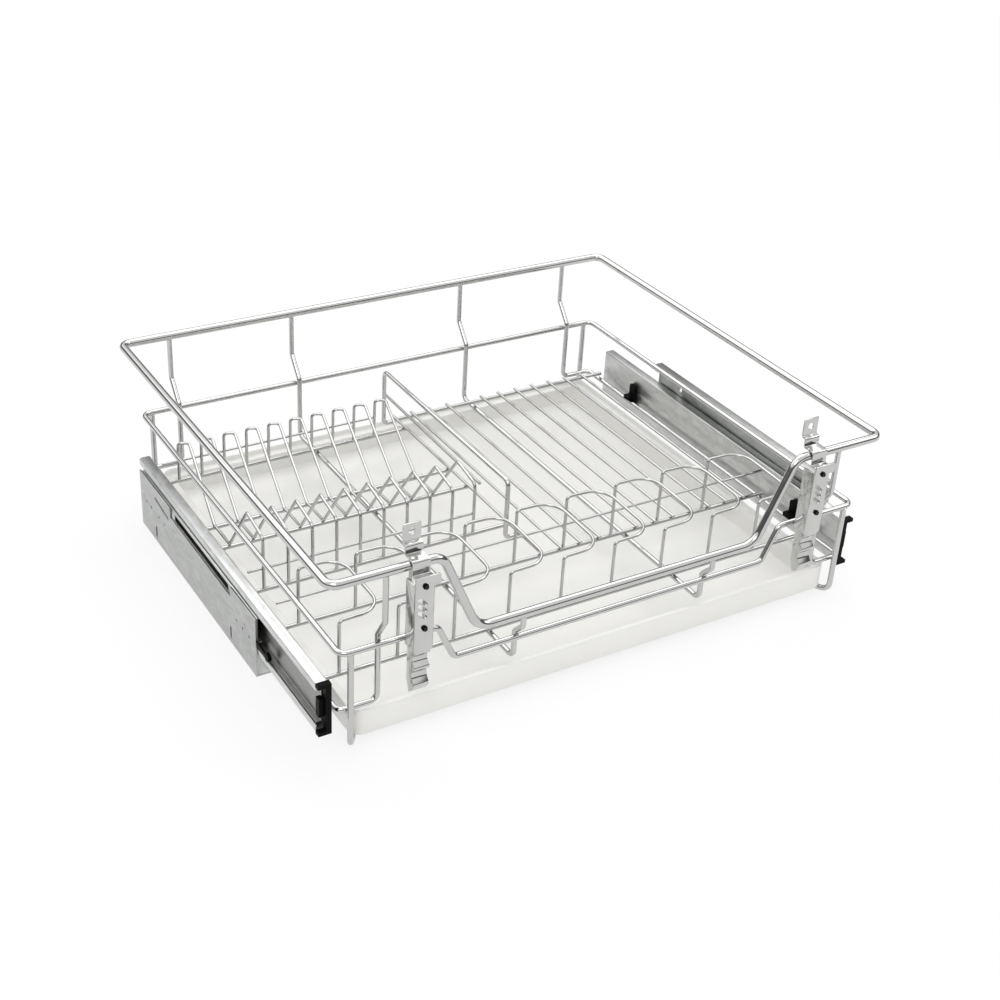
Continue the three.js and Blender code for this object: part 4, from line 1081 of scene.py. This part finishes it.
# Cabinet plates
PLATE_FRONT = {"left": 0.13, "right": 0.055}
PLATE_LENGTH = 0.28
PLATE_OUTER = 0.282
PLATE_INNER = 0.2805
PLATE_LOW = SLIDE_Z - 0.0465
PLATE_SILL = SLIDE_Z + 0.003
PLATE_HIGH = SLIDE_Z + 0.0135
FRONT_TALL = 0.055
BACK_TALL = 0.08
HOLE_Z = SLIDE_Z - 0.014
BACK_HOLE_SHARES = (0.21, 0.39, 0.65, 0.81)
FRONT_HOLE_SHARES = (0.27, 0.52, 0.78)
WALL_SLOT_SHARES = (0.2, 0.86)
RIVET_HOLE = 0.0018
RIVET_Z = SLIDE_Z - 0.0075
RIVET_SHARES = (0.0857, 0.68)
WINDOW_MARGIN = 0.008


def c_channel(name, web, tip, reach, span, sheet, fold, lip=0):
    """An open channel of the slide: web at the first x, flanges to the second, then any lips."""
    half = sheet / 2
    web += math.copysign(half, tip - web)
    low, high = SLIDE_Z - reach, SLIDE_Z + reach
    if lip:
        tip -= half
    line = [(tip, low + half), (web, low + half), (web, high - half), (tip, high - half)]
    if lip:
        line = [(tip, low + lip), *line, (tip, high - lip)]
    return folded_sheet(name, line, span, 1, sheet, fold)


def handed(piece, side, name):
    """Turns a piece that was modelled on the right over to its side."""
    if side == "left":
        mirror(piece)
    return rename(piece, f"{name}_{side}")


def turned_over(piece, side, name):
    """A cabinet side piece: mirrored on the left, upside down on the right."""
    if side == "right":
        piece.scale = (1, 1, -1)
        piece.location = (0, 0, 2 * at(0, 0, SLIDE_Z).z)
        settle(piece)
        outwards(piece)
    return handed(piece, side, name)


def ball_cage(web, tip, row, ball_x, front, reach):
    """A thin cage with its rows of balls above and below."""
    span = (front, front + reach)
    parts = [c_channel("cage", web, tip, row + CAGE_SHEET / 2, span, CAGE_SHEET, CAGE_SHEET)]
    run = reach - 2 * CAGE_END
    count = round(run / BALL_PITCH)
    for i in range(count + 1):
        y = front + CAGE_END + i * run / count
        for z in (SLIDE_Z - row, SLIDE_Z + row):
            bpy.ops.mesh.primitive_uv_sphere_add(
                segments=12, ring_count=8, radius=BALL_RADIUS, location=at(ball_x, y, z)
            )
            parts.append(named("ball"))
            settle(parts[-1])
    cage = joined(parts, "cage")
    smooth(cage, math.radians(50))
    return cage


def rivet_punches(front, span):
    places = [front + share * PLATE_LENGTH for share in RIVET_SHARES]
    return [punch(0, y, RIVET_Z, span, RIVET_HOLE) for y in places]


class RACK_OT_slides(PieceOperator):
    """Rack channel, middle channel, cabinet rail and ball cages"""

    bl_idname = "rack.slides"
    bl_label = "Slides"

    def build(self, sizes):
        for side, front in SLIDE_FRONT.items():
            back = front + SLIDE_LENGTH
            plate = PLATE_FRONT[side]
            channel = handed(self.channel(sizes.sheet, front, back), side, "rack_slide")
            finished(channel, "runner", "basket", "zinc_sheet", f"basket_channel_{side}")
            middle = handed(self.middle(sizes.sheet, front, back), side, "middle_slide")
            finished(middle, "middle", f"middle_{side}", "zinc_sheet", f"middle_channel_{side}")
            rail = turned_over(self.rail(sizes.sheet, plate, back), side, "cabinet_slide")
            finished(rail, "runner", "cabinet_side", "zinc_sheet", f"cabinet_rail_{side}")
            for label, start in (("outer", front), ("inner", plate)):
                *section, ahead, reach = CAGES[label]
                cage = handed(ball_cage(*section, start + ahead, reach), side, f"{label}_balls")
                node = f"{label}_ball_cage_{side}"
                finished(cage, "steel", f"{label}_cage_{side}", "plain_steel", node)

    def channel(self, sheet, front, back):
        channel = c_channel("channel", *CHANNEL, (front, back), sheet, fold=0.0012, lip=0.007)
        tools = []
        for share in CHANNEL_HOLE_SHARES:
            y = front + share * SLIDE_LENGTH
            tools.append(punch(0, y, CHANNEL_HOLE_Z, (0.267, 0.2715), radius=0.004))
        cut(channel, tools)
        soften(channel, 0.0002)
        return channel

    def middle(self, sheet, front, back):
        span = (front + 0.004, back - 0.002)
        middle = c_channel("middle", *MIDDLE, span, sheet, fold=0.001)
        soften(middle, 0.0002)
        return middle

    def rail(self, sheet, plate, back):
        span = (plate + 0.002, back - 0.004)
        rail = c_channel("rail", *RAIL, span, sheet, fold=0.001)
        near, far = RAIL_THROUGH
        window = block(
            "window",
            (near, plate + FRONT_TALL + WINDOW_MARGIN, PLATE_SILL),
            (far, plate + PLATE_LENGTH - BACK_TALL - WINDOW_MARGIN, SLIDE_Z + 0.0105),
        )
        cut(rail, [window] + rivet_punches(plate, RAIL_THROUGH))
        soften(rail, 0.0002)
        return rail


class RACK_OT_cabinet_plates(PieceOperator):
    """Cabinet plates with their flange, slots and holes"""

    bl_idname = "rack.cabinet_plates"
    bl_label = "Cabinet plates"

    def build(self, sizes):
        for side, front in PLATE_FRONT.items():
            plate = turned_over(self.plate(front), side, "mounting_plate")
            smooth(plate)
            finished(plate, "zinc", "cabinet_side", "zinc_sheet", f"cabinet_plate_{side}")

    def plate(self, front):
        low, sill, high = PLATE_LOW, PLATE_SILL, PLATE_HIGH
        back = front + PLATE_LENGTH
        dip_front, dip_back = front + FRONT_TALL, back - BACK_TALL
        line = [(front, low), (back, low), (back, high), (dip_back, high), (dip_back, sill)]
        line += [(dip_front, sill), (dip_front, high), (front, high)]
        plate = flat_sheet("plate", line, 0, (PLATE_INNER, PLATE_OUTER))
        corner = (PLATE_OUTER - 0.016, front, low)
        flange = block("flange", corner, (PLATE_OUTER, back, low + 0.0015))
        combine(plate, flange, "UNION")
        through = (PLATE_INNER - 0.001, PLATE_OUTER + 0.001)
        y, z = dip_back + 0.0224, SLIDE_Z + 0.0005
        tools = [punch(0, y, z, through, radius=0.002, reach=(0.016, 0.002), sides=16)]
        places = [dip_back + share * BACK_TALL for share in BACK_HOLE_SHARES]
        places += [front + share * FRONT_TALL for share in FRONT_HOLE_SHARES]
        tools += [punch(0, y, HOLE_Z, through, radius=0.0015, sides=14) for y in places]
        for share in WALL_SLOT_SHARES:
            y, z = front + share * PLATE_LENGTH, low + 0.0105
            tools.append(punch(0, y, z, through, radius=0.0024, reach=(0, 0.0045), sides=16))
        cut(plate, tools + rivet_punches(front, through))
        soften(plate, 0.0002)
        return plate


# ---- tray ----

TRAY_FLOOR = 0.002
TRAY_LEDGE_DROP = 0.005
TRAY_CLEAR = 0.0003
TRAY_DRAFT = 0.996


def rounded_outline(half, front, back, corner, steps=8):
    points = []
    for x, y, turn in (
        (half - corner, front + corner, -0.5),
        (half - corner, back - corner, 0.0),
        (corner - half, back - corner, 0.5),
        (corner - half, front + corner, 1.0),
    ):
        for k in range(steps + 1):
            angle = (turn + 0.5 * k / steps) * math.pi
            points.append((x + corner * math.cos(angle), y + corner * math.sin(angle)))
    return points


class RACK_OT_drip_tray(PieceOperator):
    """Moulded drip tray with a ledge inside its rim"""

    bl_idname = "rack.drip_tray"
    bl_label = "Drip tray"

    def build(self, sizes):
        bottom = CARRIER_Z + sizes.carrier + TRAY_CLEAR
        outline = rounded_outline(half=0.2495, front=TRAY_FRONT, back=0.444, corner=0.012)
        tray = flat_sheet("tray_moulding", outline, 2, (bottom, TRAY_TOP))
        edit(tray, "FACE")
        select_faces(tray, lambda face: face.normal.z > 0.9)
        bpy.ops.mesh.inset(thickness=0.0018)
        extrude((0, 0, -TRAY_LEDGE_DROP))
        bpy.ops.mesh.inset(thickness=0.008)
        extrude((0, 0, bottom + TRAY_FLOOR - TRAY_TOP + TRAY_LEDGE_DROP))
        bpy.ops.transform.resize(value=(TRAY_DRAFT, TRAY_DRAFT, 1))
        done()
        soften(tray, 0.0012, 3, math.radians(50))
        outwards(tray)
        smooth(tray)
        finished(tray, "tray", "tray", "tray_plastic", "drip_tray")


# ---- carried-over pieces and stage ----

KEPT = {
    "black": ("middle_stop", "end_cap", "latch", "side_clip_front", "side_clip_back"),
    "steel": ("cabinet_rivet_front", "cabinet_rivet_back"),
}

# Name, place, size and power of each lamp, which points at the part's origin
LAMPS = (
    ("overhead_lamp", (0.8, 1.2, 2.8), 3.0, 44),
    ("key_lamp", (-1.6, -1.9, 2.6), 1.5, 24),
    ("fill_lamp", (2.4, -1.0, 2.0), 1.2, 12),
)

FLOOR_SIZE = 16
FLOOR_COLOUR = (0.92, 0.92, 0.92, 1)
FLOOR_GLOW = 0.8
FLOOR_FADE = (0.9, 2.6)
WORLD_LIGHT = 0.68
WALL_LIGHT = 0.12
WALL_TOP = (0.27, 0.43)
SOFT_BOX_AHEAD = (-0.45, 0.6, 0.65)
SOFT_BOX_EDGE = (0.8, 0.97)
SOFT_BOX_LIGHT = 1.9

# Yaw, pitch and roll of the camera; its focal length is a share of the sensor's width
CAMERA_PLACE = (-0.70277, -0.90213, 0.677637)
CAMERA_TURN = (0.567, 0.539, 0.061)
CAMERA_FOCUS = 1.600837
CAMERA_SENSOR = 36


class RACK_OT_kept_pieces(PieceOperator):
    """Finishes of the pieces whose CAD shape stays"""

    bl_idname = "rack.kept_pieces"
    bl_label = "Finish the kept pieces"

    def build(self, sizes):
        for finish, groups in KEPT.items():
            for group in groups:
                for side in SIDES:
                    node = frame["nodes"][f"{group}_{side}"]
                    node.data.materials.clear()
                    node.data.materials.append(FINISHES[finish])


class RACK_OT_stage(PieceOperator):
    """Pale floor, soft lamps, white world and the camera"""

    bl_idname = "rack.stage"
    bl_label = "Stage"

    def build(self, sizes):
        self.floor()
        self.world()
        for lamp in LAMPS:
            self.lamp(*lamp)
        self.camera()

    def floor(self):
        """Pale floor, which fades into the white backdrop beyond the object's shadow."""
        bpy.ops.mesh.primitive_plane_add(size=FLOOR_SIZE, location=(0, 0, 0))
        floor = named("floor")
        make = Finish("pale_floor")
        floor.data.materials.append(make.set(Base_Color=FLOOR_COLOUR, Roughness=0.9))
        reach = make.value(
            "ShaderNodeVectorMath", {"operation": "LENGTH"}, {0: make.place}, "Value"
        )
        seen = make.seen_by("Camera", "Glossy", "Transmission")
        share = seen * reach.smoothstep(*FLOOR_FADE, FLOOR_GLOW, 1.0)
        glow = make.node("ShaderNodeEmission", {}, {"Strength": 1})
        inputs = {0: share, 1: make.shader.outputs[0], 2: glow.outputs[0]}
        mix = make.node("ShaderNodeMixShader", {}, inputs)
        make.link(make.tree.nodes["Material Output"].inputs["Surface"], mix.outputs[0])

    def world(self):
        """White world, in which bright metal shows a white ceiling, dim walls and a soft box."""
        world = bpy.data.worlds.new("studio")
        bpy.context.scene.world = world
        world.use_nodes = True
        make = Nodes(world.node_tree)
        seen = make.seen_by("Camera", "Transmission")
        plain = seen * (1 - WORLD_LIGHT) + WORLD_LIGHT
        way = make.node("ShaderNodeTexCoord").outputs["Generated"]
        height = make.value("ShaderNodeSeparateXYZ", {}, {0: way}, "Z")
        inputs = {0: way, 1: SOFT_BOX_AHEAD}
        near_box = make.value(
            "ShaderNodeVectorMath", {"operation": "DOT_PRODUCT"}, inputs, "Value"
        )
        walls = height.smoothstep(*WALL_TOP, WALL_LIGHT, 1.0)
        studio = walls * near_box.smoothstep(*SOFT_BOX_EDGE, 1.0, SOFT_BOX_LIGHT)
        inputs = {0: make.seen_by("Glossy"), 2: plain, 3: studio}
        background = make.tree.nodes["Background"]
        background.inputs["Color"].default_value = (1, 1, 1, 1)
        make.link(background.inputs["Strength"], make.value("ShaderNodeMix", {}, inputs))

    def lamp(self, name, place, size, power):
        data = bpy.data.lights.new(name, "AREA")
        data.shape = "SQUARE"
        data.size = size
        data.energy = power
        lamp = bpy.data.objects.new(name, data)
        bpy.context.scene.collection.objects.link(lamp)
        lamp.location = place
        lamp.rotation_euler = (-Vector(place)).to_track_quat("-Z", "Y").to_euler()

    def camera(self):
        """The photograph's camera, solved from the two rectangular rims."""
        yaw, pitch, roll = CAMERA_TURN
        ahead = Vector(
            (math.sin(yaw) * math.cos(pitch), math.cos(yaw) * math.cos(pitch), -math.sin(pitch))
        )
        level = Vector((math.cos(yaw), -math.sin(yaw), 0))
        rise = level.cross(ahead)
        right = math.cos(roll) * level + math.sin(roll) * rise
        up = math.cos(roll) * rise - math.sin(roll) * level
        data = bpy.data.cameras.new("camera")
        data.sensor_width = CAMERA_SENSOR
        data.lens = CAMERA_FOCUS * CAMERA_SENSOR
        camera = bpy.data.objects.new("camera", data)
        bpy.context.scene.collection.objects.link(camera)
        turned = Matrix((right, up, -ahead)).transposed().to_4x4()
        camera.matrix_world = Matrix.Translation(at(*CAMERA_PLACE)) @ turned
        bpy.context.scene.camera = camera
        bpy.context.scene.view_settings.view_transform = "Standard"


# ---- panel and registration ----

OPERATORS = (
    RACK_OT_top_rim,
    RACK_OT_mid_rim,
    RACK_OT_frame_wires,
    RACK_OT_tray_carriers,
    RACK_OT_base_grid,
    RACK_OT_plate_rack,
    RACK_OT_bowl_rack,
    RACK_OT_divider,
    RACK_OT_brackets,
    RACK_OT_slides,
    RACK_OT_cabinet_plates,
    RACK_OT_drip_tray,
    RACK_OT_kept_pieces,
    RACK_OT_stage,
)


class RACK_PT_panel(bpy.types.Panel):
    """Sizes, colours and pieces of the dish rack"""

    bl_label = "Dish rack"
    bl_idname = "RACK_PT_panel"
    bl_space_type = "VIEW_3D"
    bl_region_type = "UI"
    bl_category = "Dish rack"

    def draw(self, context):
        for group in (context.scene.dish_rack_sizes, context.scene.dish_rack_colours):
            box = self.layout.box()
            for key in group.bl_rna.properties.keys():
                if key not in ("rna_type", "name"):
                    box.prop(group, key)
        for operator in OPERATORS:
            self.layout.operator(operator.bl_idname)


CLASSES = (DishRackSizes, DishRackColours) + OPERATORS + (RACK_PT_panel,)


def register():
    for each in CLASSES:
        bpy.utils.register_class(each)
    bpy.types.Scene.dish_rack_sizes = bpy.props.PointerProperty(type=DishRackSizes)
    bpy.types.Scene.dish_rack_colours = bpy.props.PointerProperty(type=DishRackColours)


def unregister():
    del bpy.types.Scene.dish_rack_colours
    del bpy.types.Scene.dish_rack_sizes
    for each in reversed(CLASSES):
        bpy.utils.unregister_class(each)


def main():
    register()
    make_finishes()
    for operator in OPERATORS:
        getattr(bpy.ops.rack, operator.bl_idname.split(".")[1])()


if __name__ == "__main__":
    main()
